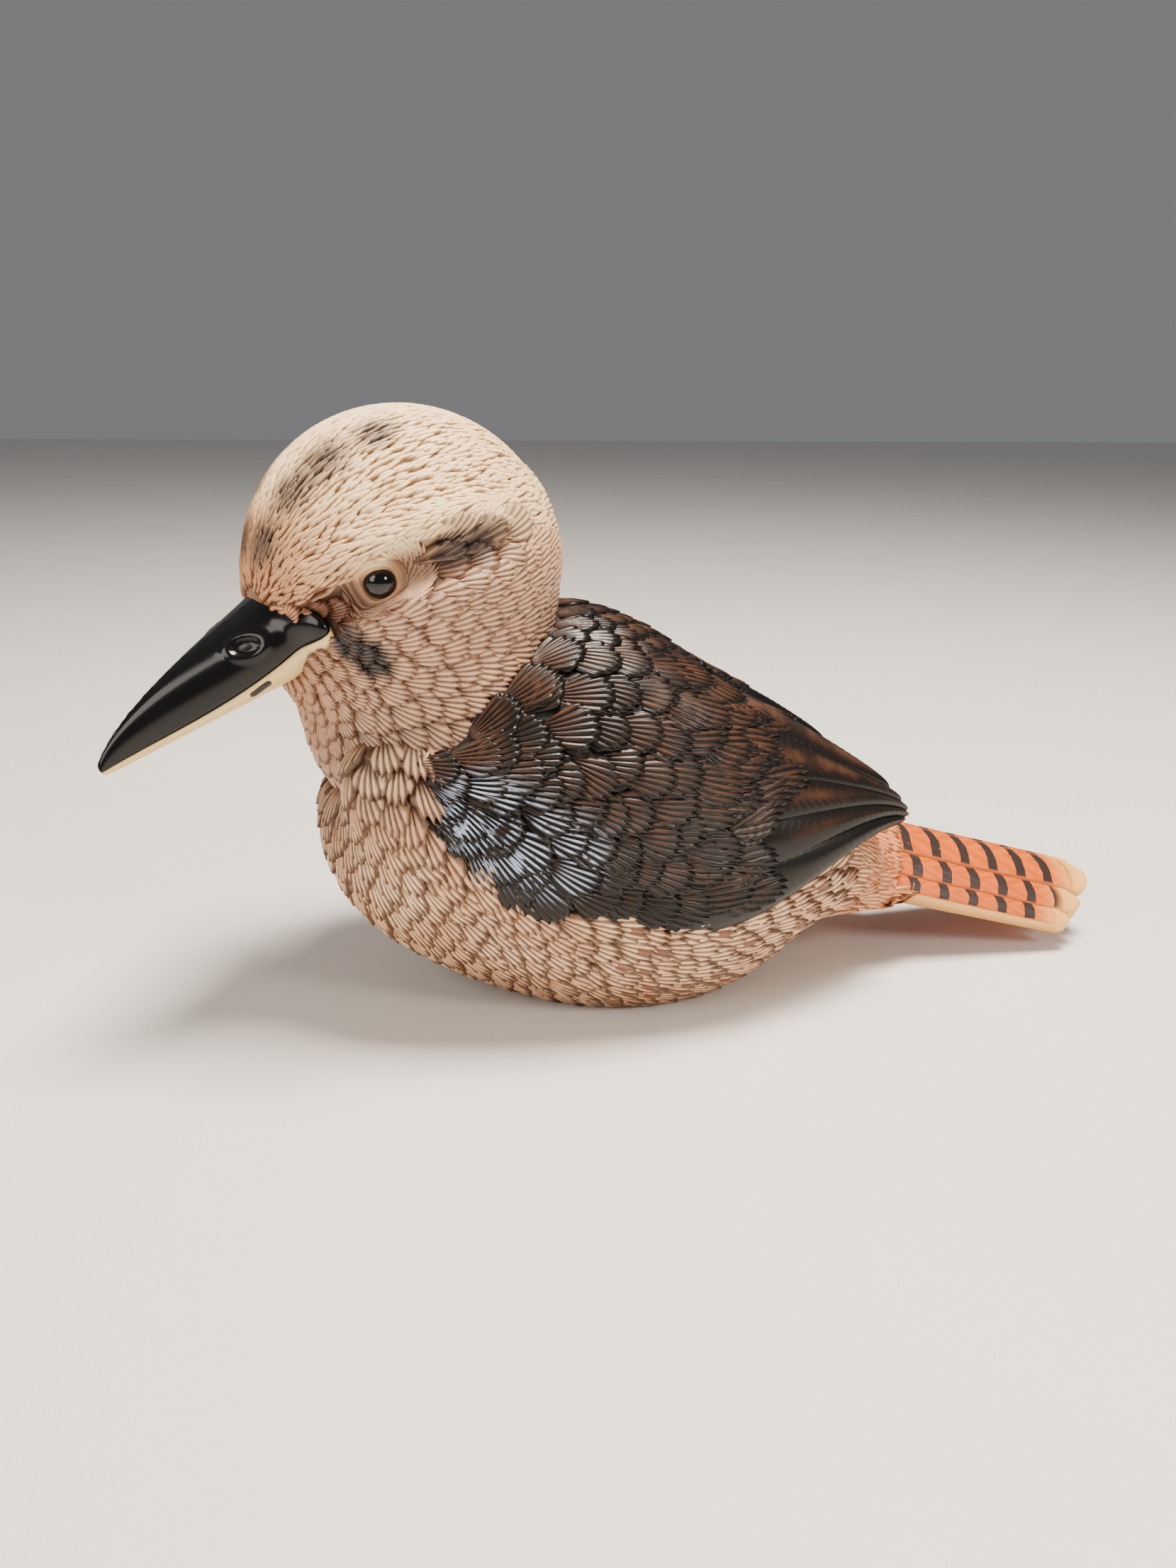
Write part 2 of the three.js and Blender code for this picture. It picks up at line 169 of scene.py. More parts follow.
def recess(p, sunk=0.0):
    """How deep in the hollow of the eye a point of the head's skin is, from 0 to 1."""
    return smoothstep(-whole_skull(p) - sunk, 0.1, 1.5)


def turn_head(p, back=False):
    """From the head's frame to the whole figure's, or back."""
    angle = -HEAD_TURN if back else HEAD_TURN
    c, s = math.cos(angle), math.sin(angle)
    pivot = np.array((NECK_X, 0.0, 0.0))
    q = (p if back else p + HEAD_CENTRE) - pivot
    q = np.stack([c * q[..., 0] - s * q[..., 1], s * q[..., 0] + c * q[..., 1], q[..., 2]], -1) + pivot
    return q - HEAD_CENTRE if back else q


def head_form(p):
    return skull_form(turn_head(p, back=True))


# A wing lies round the body like a sleeve. Its edges are told by their angles round a line through the
# body, which falls to the rear, and the circle round that line is pressed a little flat.
WING_FRONT_X, WING_TIP_X = -49.0, 67.0
WING_AXIS_Z = (52, 38)
WING_FLATNESS = 0.8
WING_HEIGHT = 1.2


def wing_edges(t):
    upper = lerp(62, 20, smoothstep(t, 0, 0.25)) + 28 * smoothstep(t, 0.6, 1)
    lower = lerp(86, 123, smoothstep(t, -0.05, 0.22)) - 47 * smoothstep(t, 0.5, 1.05)
    return upper, lower


def wing_point(along, down, side=1):
    """A point of the skin under a wing and the way out of it, from shares of the way from the wing's front to
    its tip and from its upper to its lower edge."""
    t = np.clip(along, 0, 1)
    turn = np.radians(lerp(*wing_edges(t), down))
    x = lerp(WING_FRONT_X, WING_TIP_X, along)
    reach = lerp(45, 26, smoothstep(x, 0, WING_TIP_X))
    z = lerp(*WING_AXIS_Z, t) + WING_FLATNESS * reach * np.cos(turn)
    return on_skin(wing_form, np.stack([x, side * reach * np.sin(turn), z], -1))


def wing_share(p):
    """How far down across the wing a point of the body is: 0 on its upper edge and 1 on its lower one."""
    t = np.clip((p[:, 0] - WING_FRONT_X) / (WING_TIP_X - WING_FRONT_X), 0, 1)
    upper, lower = wing_edges(t)
    around = np.degrees(np.arctan2(np.abs(p[:, 1]), (p[:, 2] - lerp(*WING_AXIS_Z, t)) / WING_FLATNESS))
    return (around - upper) / (lower - upper)


# The tail slopes down from its root to its tip, given as x and z, and droops to both sides like a
# shallow arch.
TAIL_ROOT, TAIL_TIP = np.array((46.0, 38.0)), np.array((127.0, 15.0))
TAIL_HALF_WIDTH = (14.0, 17.0)
TAIL_DROP = 12.5
TAIL_ROUNDING = 0.16
TAIL_THICKNESS = 2.6


def tail_point(along, across, height):
    """A point of the tail from its share along, its share across (-1 to 1) and its height over the middle."""
    half = lerp(*TAIL_HALF_WIDTH, along)
    drop = TAIL_DROP * np.abs(across) ** 1.8
    x, z = (lerp(root, tip, along) for root, tip in zip(TAIL_ROOT, TAIL_TIP))
    return np.stack([x, across * half, z - drop + height], -1)


def finished(name, bm, smooth=True):
    """A new piece from a bmesh whose points are in the figure's millimetres."""
    mesh = bpy.data.meshes.new(name)
    for v in bm.verts:
        v.co = (v.co + Vector(SHIFT)) * MM
    bm.to_mesh(mesh)
    bm.free()
    mesh.polygons.foreach_set("use_smooth", [smooth] * len(mesh.polygons))
    piece = bpy.data.objects.new(name, mesh)
    bpy.context.scene.collection.objects.link(piece)
    return piece


def places_of(bm):
    return np.array([v.co[:] for v in bm.verts])


def move_all(bm, places):
    for v, place in zip(bm.verts, places):
        v.co = place


def cast(form, centre, ways, level=0.0):
    """Where rays from the centre come out of the form."""
    near, far = np.zeros(len(ways)), np.full(len(ways), 200.0)
    for _ in range(20):
        middle = (near + far) / 2
        inside = form(centre + ways * middle[:, None]) < level
        near, far = np.where(inside, middle, near), np.where(inside, far, middle)
    return centre + ways * near[:, None]


def ball_on(form, centre, level):
    """A fine ball pushed out along its rays to the form."""
    bm = bmesh.new()
    bmesh.ops.create_icosphere(bm, subdivisions=7, radius=1)
    move_all(bm, cast(form, centre, unit(places_of(bm)), level))
    return bm


BELLY_Z = 0.15
body_ball = ball_on(body_form, BODY_CENTRE, -COAT)
for v in body_ball.verts:
    v.co.z = max(v.co.z, BELLY_Z)
head_ball = ball_on(skull_form, SKULL_CENTRE, -HEAD_COAT)
move_all(head_ball, turn_head(places_of(head_ball)))

WING_DEPTH = 3.5


def wing_plate(side):
    bm = bmesh.new()
    bmesh.ops.create_grid(bm, x_segments=60, y_segments=24, size=1)
    grid = places_of(bm)
    at, out = wing_point((grid[:, 0] + 1) / 2, (grid[:, 1] + 1) / 2, side)
    border = np.maximum(np.abs(grid[:, 0]) ** 12, np.abs(grid[:, 1]) ** 6)
    move_all(bm, at + out * (WING_HEIGHT - COAT - 0.6 * border)[:, None])
    shell = bmesh.ops.extrude_face_region(bm, geom=bm.faces[:])
    under = [v for v in shell["geom"] if isinstance(v, bmesh.types.BMVert)]
    at_under, out_under = on_skin(wing_form, np.array([v.co[:] for v in under]))
    for v, place in zip(under, at_under - WING_DEPTH * out_under):
        v.co = place
    bmesh.ops.recalc_face_normals(bm, faces=bm.faces[:])
    return bm


def tail_plate():
    bm = bmesh.new()
    bmesh.ops.create_grid(bm, x_segments=40, y_segments=24, size=1)
    grid = places_of(bm)
    along = lerp(-0.06, 0.94 - TAIL_ROUNDING * grid[:, 1] ** 2, (grid[:, 0] + 1) / 2)
    move_all(bm, tail_point(along, 0.95 * grid[:, 1], TAIL_THICKNESS / 2 - 0.3))
    bmesh.ops.recalc_face_normals(bm, faces=bm.faces[:])
    bmesh.ops.solidify(bm, geom=bm.faces[:], thickness=TAIL_THICKNESS - 0.5)
    bmesh.ops.recalc_face_normals(bm, faces=bm.faces[:])
    return bm


parts = [body_ball, head_ball, wing_plate(1), wing_plate(-1), tail_plate()]
shells = [finished(f"shell_{i}", bm) for i, bm in enumerate(parts)]
with bpy.context.temp_override(active_object=shells[0], selected_editable_objects=shells):
    bpy.ops.object.join()
melt = shells[0].modifiers.new("melt", "REMESH")
melt.mode = "VOXEL"
melt.voxel_size = SKIN_VOXEL * MM
bpy.context.view_layer.update()
skin_mesh = bpy.data.meshes.new_from_object(shells[0].evaluated_get(bpy.context.evaluated_depsgraph_get()))
bpy.data.objects.remove(shells[0])
skin = bpy.data.objects.new("cast_skin", skin_mesh)
bpy.context.scene.collection.objects.link(skin)
bm = bmesh.new()
bm.from_mesh(skin_mesh)
all_ways = {"use_axis_x": True, "use_axis_y": True, "use_axis_z": True}
for _ in range(2):
    bmesh.ops.smooth_vert(bm, verts=bm.verts[:], factor=0.5, **all_ways)
for v in bm.verts:
    v.co.z = max(v.co.z, 0.1 * MM)
bm.to_mesh(skin_mesh)
bm.free()
skin_mesh.polygons.foreach_set("use_smooth", [True] * len(skin_mesh.polygons))
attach(skin, "root")
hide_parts("torso", "neck", "head", "wing_left", "wing_right", "tail")


# The paint. Each colour is airbrushed or wiped on by hand over the casting: a dark wash stays in the
# grooves, and a lighter coat catches the ridges. Shade is painted in as well: at the roots of the
# feathers, in the hollows of the eyes and where head and body meet. A Field is one value of a paint's
# nodes, and a Paint is one material.
def tint(red, green, blue):
    """A colour as it looks, 0 to 255 each, in the linear values that the shader takes."""
    linear = (((v / 255 + 0.055) / 1.055) ** 2.4 if v > 10 else v / 3294 for v in (red, green, blue))
    return (*linear, 1.0)


class Field:
    def __init__(self, paint, socket):
        self.paint, self.socket = paint, socket

    def math(self, operation, *others, clamp=False):
        settings = {"operation": operation, "use_clamp": clamp}
        return self.paint.node("ShaderNodeMath", settings, dict(enumerate((self, *others))))

    def __add__(self, other):
        return self.math("ADD", other)

    def __mul__(self, other):
        return self.math("MULTIPLY", other)

    def __sub__(self, other):
        return self.math("SUBTRACT", other)

    def __rsub__(self, other):
        return self.paint.node("ShaderNodeMath", {"operation": "SUBTRACT"}, {0: other, 1: self})

    def __truediv__(self, other):
        return self.math("DIVIDE", other)

    __radd__ = __add__
    __rmul__ = __mul__

    def clamped(self):
        return self.math("ADD", 0.0, clamp=True)

    def step(self, low, high):
        """0 up to low, 1 from high on, and smooth between; high may be the smaller one."""
        inputs = {0: self, 1: low, 2: high, 3: 0.0, 4: 1.0}
        if low > high:
            inputs = {0: self, 1: high, 2: low, 3: 1.0, 4: 0.0}
        return self.paint.node("ShaderNodeMapRange", {"interpolation_type": "SMOOTHSTEP"}, inputs)


class Paint:
    def __init__(self, name, roughness, **fixed):
        self.material = bpy.data.materials.new(name)
        self.material.use_nodes = True
        self.tree = self.material.node_tree
        self.shader = self.tree.nodes["Principled BSDF"]
        self.shader.inputs["Roughness"].default_value = roughness
        for socket, value in fixed.items():
            self.shader.inputs[socket.replace("_", " ")].default_value = value
        self.at = self.node("ShaderNodeTexCoord", {}, {}, "Object")

    def node(self, kind, settings, inputs, output=0):
        made = self.tree.nodes.new(kind)
        for key, value in settings.items():
            setattr(made, key, value)
        for key, value in inputs.items():
            if isinstance(value, Field):
                self.tree.links.new(value.socket, made.inputs[key])
            else:
                made.inputs[key].default_value = value
        return Field(self, made.outputs[output])

    def mix(self, share, a, b):
        return self.node("ShaderNodeMix", {"data_type": "RGBA"}, {0: share, 6: a, 7: b}, 2)

    def noise(self, size, detail=3.0, rough=0.6, at=None):
        """Speckle with blots about size millimetres across, from 0 to 1."""
        inputs = {"Vector": at or self.at, "Scale": 1 / (size * MM), "Detail": detail, "Roughness": rough}
        return self.node("ShaderNodeTexNoise", {}, inputs, 0)

    def attribute(self, name):
        return self.node("ShaderNodeAttribute", {"attribute_name": name}, {}, "Fac")

    def vector(self, operation, *inputs, output=0):
        return self.node("ShaderNodeVectorMath", {"operation": operation}, dict(enumerate(inputs)), output)

    def feed(self, socket, value):
        self.tree.links.new(value.socket, self.shader.inputs[socket])

    def on(self, piece):
        piece.data.materials.clear()
        piece.data.materials.append(self.material)


def folded_place(paint, place):
    """The three parts of a place in millimetres, with both sides of the figure folded onto one."""
    grown = paint.vector("MULTIPLY", place, (1 / MM,) * 3)
    x, y, z = (paint.node("ShaderNodeSeparateXYZ", {}, {0: grown}, axis) for axis in range(3))
    return x, y.math("ABSOLUTE"), z


def body_place(paint):
    return folded_place(paint, paint.at)


def head_place(paint):
    """Places in the head's own frame."""
    pivot = Vector((NECK_X + SHIFT[0], 0, 0)) * MM
    moved = paint.vector("SUBTRACT", paint.at, tuple(pivot))
    inputs = {"Vector": moved, "Center": (0, 0, 0), "Axis": (0, 0, 1), "Angle": -HEAD_TURN}
    turned = paint.node("ShaderNodeVectorRotate", {"rotation_type": "AXIS_ANGLE"}, inputs)
    centre = Vector((HEAD_CENTRE[0] - NECK_X, 0, HEAD_CENTRE[2])) * MM
    return folded_place(paint, paint.vector("SUBTRACT", turned, tuple(centre)))


def joined_vector(paint, x, y, z):
    return paint.node("ShaderNodeCombineXYZ", {}, {0: x, 1: y, 2: z})


def near_line(paint, at, a, b, inner, outer):
    """1 within inner of the line from a to b, fading to 0 at outer."""
    a, b = Vector(a), Vector(b)
    along = paint.vector("SUBTRACT", at, tuple(a))
    way = (b - a) / max((b - a).length_squared, 1e-9)
    share = paint.vector("DOT_PRODUCT", along, tuple(way), output="Value").clamped()
    reach = paint.node("ShaderNodeVectorMath", {"operation": "SCALE"}, {0: tuple(b - a), 3: share})
    return paint.vector("DISTANCE", along, reach, output="Value").step(outer, inner)


CREAM = tint(255, 218, 168)
CHEEK = tint(248, 202, 164)
FOREHEAD = tint(210, 142, 94)
# The dark wash in the grooves, also used as painted shade at the roots of the feathers, under the tips of the
# next.
HEAD_WASH_AND_SHADE = tint(86, 46, 26)
HOLLOW_SHADE = tint(112, 66, 42)
LID = tint(200, 150, 112)
STRIPE = tint(30, 20, 16)
BLOTCH = tint(84, 64, 50)
DASH = tint(104, 46, 30)
LEAF = tint(206, 150, 98)
# Painted shade, laid in the crease where head and body meet and in the hollows of the eyes.
PAINTED_SHADE = tint(66, 44, 32)
BLOTCHES = (
    ((-31.7, 4.9, 7.3), 6.0),
    ((-26.6, 8.8, 16.7), 6.0),
    ((-20.4, 10.8, 22.7), 6.5),
    ((-10.5, 12.9, 27.5), 5.5),
)
CHEEK_DASHES = (
    (-4.0, 30.0, -3.0),
    (-8.9, 28.6, -6.3),
    (-8.4, 27.9, -9.9),
    (-1.8, 28.8, -12.0),
    (6.0, 30.0, -0.5),
    (2.3, 29.3, -10.0),
)
DASH_HALF = Vector((0.3, 0, 1.2))

# Marks on the head: the ends of a line, how near to it the colour is full, and where it ends. The first
# two are painted shade in the hollow round the eye, the others airbrushed marks.
HOLLOW_SHADE_FRONT = ((-25, 19, -5), (-17, 26, -1.5), 2.0, 6.5)
HOLLOW_SHADE_REAR = ((-13, 28, 3), (6, 30, 7), 1.5, 5.0)
LID_LINE = ((-19, 25, 0), (-15, 26.5, 1.5), 3.0, 4.2)
EYE_STRIPE = ((-4, 29, 6.5), (8, 31, 9.5), 1.8, 4.6)
GAPE_PATCH = ((-21.5, 21, -10.5), (-17, 23, -14.5), 1.8, 5.6)


def head_colour(paint, ridge, feathered=False):
    x, side, z = head_place(paint)
    at = joined_vector(paint, x, side, z)
    wobble = paint.noise(4) * 3 - 1.5
    loose = joined_vector(paint, x + wobble, side + wobble, z + wobble)
    crown = (z - x * 0.25).step(-2, 12)
    leaf = paint.noise(3.5, detail=1.0).step(0.66, 0.72) * crown * 0.5
    base = paint.mix(leaf, paint.mix(crown, CHEEK, CREAM), LEAF)
    front = (0 - x).step(16, 34) * (z - 14).step(8, -8)
    base = paint.mix(front * 0.85, base, FOREHEAD)
    lit = (ridge * (0.8 + 0.1 * crown) + 0.22 * crown + paint.noise(1.2) * 0.4 - 0.12).clamped()
    colour = paint.mix(lit, HEAD_WASH_AND_SHADE, base)
    if feathered:
        # Painted shade at each feather's root, where the tip of the one before lies over it.
        root_shade = 1 - paint.attribute("reach").step(0.05, 0.5)
        colour = paint.mix(root_shade * (0.75 - 0.35 * crown), colour, HEAD_WASH_AND_SHADE)
    for spot, radius in BLOTCHES:
        mark = near_line(paint, loose, spot, spot, radius * 0.2, radius * 1.4)
        colour = paint.mix((mark * (1.15 - 0.3 * ridge)).clamped(), colour, BLOTCH)
    # Painted shade in the hollow round the eye, deepest in its grooves.
    socket = near_line(paint, at, *HOLLOW_SHADE_FRONT).math("MAXIMUM", near_line(paint, at, *HOLLOW_SHADE_REAR))
    colour = paint.mix((socket * (1.2 - 0.55 * ridge)).clamped(), colour, HOLLOW_SHADE)
    colour = paint.mix(near_line(paint, at, *LID_LINE) * (0.35 + 0.4 * ridge), colour, LID)
    for spot in CHEEK_DASHES:
        dash = near_line(paint, at, Vector(spot) + DASH_HALF, Vector(spot) - DASH_HALF, 0.4, 0.9)
        colour = paint.mix(dash * 0.9, colour, DASH)
    stripe = near_line(paint, loose, *EYE_STRIPE) * (1.5 - ridge)
    colour = paint.mix(stripe.clamped(), colour, STRIPE)
    patch = near_line(paint, loose, *GAPE_PATCH) * (1.3 - 0.5 * ridge)
    colour = paint.mix(patch.clamped(), colour, STRIPE)
    # Painted shade in the crease under the head and in the hollows of the eyes.
    return paint.mix(paint.attribute("shade") * (0.95 - 0.4 * ridge), colour, PAINTED_SHADE)


TAN = tint(236, 180, 136)
PALE_TAN = tint(252, 210, 168)
# The dark wash in the grooves, also used as painted shade at the roots of the feathers.
TAN_WASH_AND_SHADE = tint(72, 40, 24)
FLANK_DASH = tint(110, 58, 36)
RUMP = tint(226, 128, 56)


def breast_colour(paint, ridge, feathered=False):
    x, side, z = body_place(paint)
    lit = (ridge.step(0.12, 0.8) * 0.85 + paint.noise(1.5) * 0.4 - 0.08).clamped()
    colour = paint.mix(lit, TAN_WASH_AND_SHADE, paint.mix(paint.noise(14).step(0.35, 0.7), TAN, PALE_TAN))
    if feathered:
        reach = paint.attribute("reach")
        dash = reach.math("COMPARE", 0.8, 0.13) * paint.attribute("side").math("ABSOLUTE").step(0.3, 0.18)
        chosen = paint.attribute("chance").step(0.4, 0.45) * x.step(-40, -10) * z.step(38, 28)
        # Painted shade at each feather's root, under the tip of the one before.
        colour = paint.mix((1 - reach.step(0.1, 0.55)) * 0.75, colour, TAN_WASH_AND_SHADE)
        colour = paint.mix(dash * chosen * 0.9, colour, FLANK_DASH)
        colour = paint.mix(x.step(36, 60) * (0.3 + 0.6 * ridge), colour, RUMP)
    # Painted shade in the crease where head and body meet.
    return paint.mix(paint.attribute("shade") * (0.95 - 0.4 * ridge), colour, PAINTED_SHADE)


UMBER = tint(12, 9, 8)
BROWN = tint(92, 60, 42)
SILVER = tint(186, 206, 236)
SILVER_PATCH = ((-45, 39, 54), (-30, 41, 46), 5, 13)


def wing_colour(paint, ridge, feathered=False):
    patches = paint.noise(11).step(0.34, 0.68)
    # Brown brushed over the ridges in patches; on the flight feathers the ridge value carries their painted
    # sheen.
    brushed_and_sheen = (0.15 + 0.85 * patches) * ridge.step(0.1, 0.9)
    if not feathered:
        return paint.mix((brushed_and_sheen * 0.6).clamped(), UMBER, BROWN)
    reach = paint.attribute("reach")
    x, side, z = body_place(paint)
    at = joined_vector(paint, x, side, z)
    # Less brown towards the tips, whose edges are painted black, and more towards the top of the wing as a
    # painted sheen.
    brushed_and_sheen = brushed_and_sheen * (0.3 + 0.7 * reach.step(1.0, 0.6)) * (0.3 + 0.7 * z.step(30, 50))
    colour = paint.mix((brushed_and_sheen * 0.8).clamped(), UMBER, BROWN)
    silver = near_line(paint, at, *SILVER_PATCH) * ridge.step(0.5, 0.85) * reach.step(0.2, 0.5)
    silver = (silver * paint.noise(4).step(0.34, 0.5)).clamped()
    return paint.mix(silver * 0.95, colour, SILVER)


ORANGE = tint(218, 100, 0)
TAIL_WASH = tint(132, 52, 2)


def tail_colour(paint, ridge):
    return paint.mix((ridge * 0.7 + paint.noise(2) * 0.5).clamped(), TAIL_WASH, ORANGE)


def seam_shade(p):
    """How much painted shade lies where head and body meet: 1 there, fading out over the next 8 mm or so."""
    return np.exp(-((np.maximum(head_form(p), body_form(p)) / 6.5) ** 2))


def skin_share(name, values):
    layer = skin_mesh.attributes.new(name, "FLOAT", "POINT")
    layer.data.foreach_set("value", np.asarray(values, np.float32))


skin_at = np.empty(len(skin_mesh.vertices) * 3)
skin_mesh.vertices.foreach_get("co", skin_at)
skin_at = skin_at.reshape(-1, 3) / MM - SHIFT
on_head = (head_form(skin_at) < 0.4) & (body_form(skin_at) > -1.6)
down_wing = wing_share(skin_at)
under_wing = (down_wing > 0.02) & (down_wing < 0.98) & (skin_at[:, 0] > WING_FRONT_X) & (skin_at[:, 2] > 22)
on_wing = under_wing | (wing_form(skin_at) > -COAT + 0.25)
on_tail = skin_at[:, 0] > WING_TIP_X + 1
from_top = np.degrees(np.arctan2(np.abs(skin_at[:, 1]), skin_at[:, 2] - 45))
between_wings = (from_top < 58) & (skin_at[:, 0] > -38)
skin_share("on_head", on_head)
skin_share("on_dark", (on_wing | between_wings) & ~on_head & ~on_tail)
skin_share("on_tail", on_tail)
# Shade painted on the bare casting: in the hollows of the eyes and where head and body meet.
in_hollow = recess(turn_head(skin_at, back=True), HEAD_COAT) * on_head
skin_share("shade", np.maximum(seam_shade(skin_at), in_hollow))

skin_paint = Paint("casting_paint", 0.5)
groove = skin_paint.noise(1.0) * 0.35
skin_colour = breast_colour(skin_paint, groove)
for share, colour in (("on_dark", wing_colour), ("on_tail", tail_colour), ("on_head", head_colour)):
    skin_colour = skin_paint.mix(skin_paint.attribute(share), skin_colour, colour(skin_paint, groove))
skin_paint.feed("Base Color", skin_colour)
skin_paint.on(skin)


# The raised feathers are part of the casting, cut into the model that the mould was taken from. Each one
# is a low closed patch with its root under the skin and its tip proud of the next, laid along the lie of
# the coat.
rng = np.random.default_rng(7)
PATCH_HALF = 0.0015  # half the width of a feather's place on the unwrapped map


def vane_template(along, across):
    """One closed patch: shares along and across it, which points belong to its lower rim, and its faces."""
    bm = bmesh.new()
    bmesh.ops.create_grid(bm, x_segments=along, y_segments=across, size=1)
    rim = bmesh.ops.extrude_edge_only(bm, edges=[e for e in bm.edges if e.is_boundary])
    for v in rim["geom"]:
        if isinstance(v, bmesh.types.BMVert):
            v.co.z = -1
    bmesh.ops.holes_fill(bm, edges=[e for e in bm.edges if e.is_boundary], sides=0)
    bmesh.ops.recalc_face_normals(bm, faces=bm.faces[:])
    places = places_of(bm)
    faces = [[v.index for v in f.verts] for f in bm.faces]
    bm.free()
    return (places[:, 0] + 1) / 2, places[:, 1], places[:, 2] < 0, faces


def laid_straight(form, roots, ways, lengths, halves):
    """Where the points of each feather come to lie, from its root and the way it runs."""
    out = unit(slope_of(form, roots))
    ways = unit(ways - out * (ways * out).sum(-1, keepdims=True))
    sides = np.cross(out, ways)

    def place(s, a):
        p = roots[:, None] + ways[:, None] * (lengths[:, None] * s)[..., None]
        return on_skin(form, p + sides[:, None] * (halves[:, None] * a)[..., None], steps=4)

    return place


def feather(
    barbs, pointed=0.0, blunt=0.4, sunk=1.0, rise=0.6, crown=0.4, tilt=0.0, cut=0.35, turn=0.0, slant=0.3,
    jag=0.06, line=0.7,
):
    """The shape of feathers, from shares s along and a across them: the shares where each point comes to lie,
    its height over the skin, and how far up a ridge it is. There are as many barbs on each side."""

    def shape(s, a):
        wide = lerp(0.25, 1, 0.4 * np.sin(np.pi / 2 * s) + 0.6 * s)
        wide = wide * np.sqrt(1 - 0.9 * pointed * smoothstep(s, 0.45, 1.02))
        fold = np.where(pointed > 0.5, np.abs(a), a)
        wave = 0.5 + 0.5 * np.cos(2 * np.pi * (barbs * fold - slant * s + turn))
        fade = smoothstep(s, 0.05, 0.3)
        edge = np.maximum(np.abs(a) ** 6, s**12)
        tall = lerp(-sunk, rise, s**0.8) + crown * (1 - a * a) + tilt * a - 0.25 * edge
        tall = tall + cut * (wave - 1) * fade
        # Each feather darkens towards its rim: a wash line round it, which also stands for the shadow its
        # edge casts on the feather below.
        ridge = lerp(0.6, wave, fade) * (1 - line * smoothstep(np.maximum(np.abs(a), s), 0.8, 1))
        far = s * (1 - blunt * np.abs(a) ** 2.4) * (1 + jag * (2 * wave - 1) * s**3)
        return far, a * wide, tall, ridge

    return shape


def feather_coat(name, template, place, shape, depth, spots, shade=0.0):
    """One piece of many feathers, with what the paint needs to know of each of its points."""
    s, a, rim, faces = template
    count, each = len(spots), len(s)
    s, a = np.broadcast_to(s, (count, each)), np.broadcast_to(a, (count, each))
    far, wide, tall, ridge = shape(s, a)
    at, out = place(far, wide)
    depth = depth(s, a) if callable(depth) else depth
    places = at + out * np.where(rim, -depth, tall)[..., None]
    places[..., 2] = np.maximum(places[..., 2], 0.05)
    places = (places.reshape(-1, 3) + SHIFT) * MM
    mesh = bpy.data.meshes.new(name)
    sizes = np.tile([len(f) for f in faces], count)
    loops = (np.concatenate(faces)[None] + each * np.arange(count)[:, None]).ravel()
    mesh.vertices.add(len(places))
    mesh.vertices.foreach_set("co", places.astype(np.float32).ravel())
    mesh.loops.add(len(loops))
    mesh.loops.foreach_set("vertex_index", loops.astype(np.int32))
    mesh.polygons.add(len(sizes))
    mesh.polygons.foreach_set("loop_start", np.concatenate([[0], np.cumsum(sizes)[:-1]]).astype(np.int32))
    mesh.update(calc_edges=True)
    mesh.polygons.foreach_set("use_smooth", [True] * len(mesh.polygons))
    shade = shade * (1 - 0.55 * s)
    known = {"ridge": ridge, "reach": s, "side": a, "chance": spots[:, 2:3], "shade": shade}
    for key, values in known.items():
        layer = mesh.attributes.new(key, "FLOAT", "POINT")
        layer.data.foreach_set("value", np.broadcast_to(values, s.shape).astype(np.float32).ravel())
    uv = spots[:, None, :2] + PATCH_HALF * np.stack([2 * s - 1, a], -1)
    flat = mesh.uv_layers.new(name="OFBake")
    flat.data.foreach_set("uv", uv.reshape(-1, 2)[loops].astype(np.float32).ravel())
    piece = bpy.data.objects.new(name, mesh)
    bpy.context.scene.collection.objects.link(piece)
    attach(piece, "root")
    return piece


def spread(points, gaps):
    """Those of the points, taken in their order, that keep their gap from all taken before."""
    cell = gaps.max()
    near = [(dx, dy, dz) for dx in (-1, 0, 1) for dy in (-1, 0, 1) for dz in (-1, 0, 1)]
    taken, grid = [], {}
    for i, (p, gap) in enumerate(zip(points, gaps)):
        key = (p // cell).astype(int)
        close = [j for d in near for j in grid.get((key[0] + d[0], key[1] + d[1], key[2] + d[2]), ())]
        if not close or ((points[close] - p) ** 2).sum(-1).min() > gap * gap:
            grid.setdefault(tuple(key), []).append(i)
            taken.append(i)
    return taken


def spots_on(points, centre):
    """Each root's place on a map of the ball round the centre, and a number drawn for it."""
    q = points - centre
    u = np.arctan2(q[:, 1], q[:, 0]) / (2 * np.pi) + 0.5
    v = np.arccos(np.clip(q[:, 2] / np.linalg.norm(q, axis=1), -1, 1)) / np.pi
    return np.stack([u, v, rng.random(len(points))], -1)


# Breast, belly and flanks carry rows of fan-shaped feathers with deep grooves, which run down the breast
# and back along the belly. They are tan over a brown wash, with painted shade at their roots and short
# brown dashes on the tips along the flanks.
BREAST_TURN = np.array((5.0, 0.0, 80.0))
BREAST_GAP = 5.0
BREAST_SIZE = (9.6, 4.3)
WING_MARGIN = 1.6
PLACES_TRIED = 60000

wing_shares = np.meshgrid(np.linspace(0, 0.95, 90), np.linspace(0.04, 0.96, 44))
wing_places = wing_point(*(grid.ravel() for grid in wing_shares))[0]
wing_tree = KDTree(len(wing_places))
for i, point in enumerate(wing_places):
    wing_tree.insert(point, i)
wing_tree.balance()


def clear_of_wing(p):
    folded = np.stack([p[:, 0], np.abs(p[:, 1]), p[:, 2]], -1)
    return np.array([wing_tree.find(q)[2] > WING_MARGIN for q in folded])


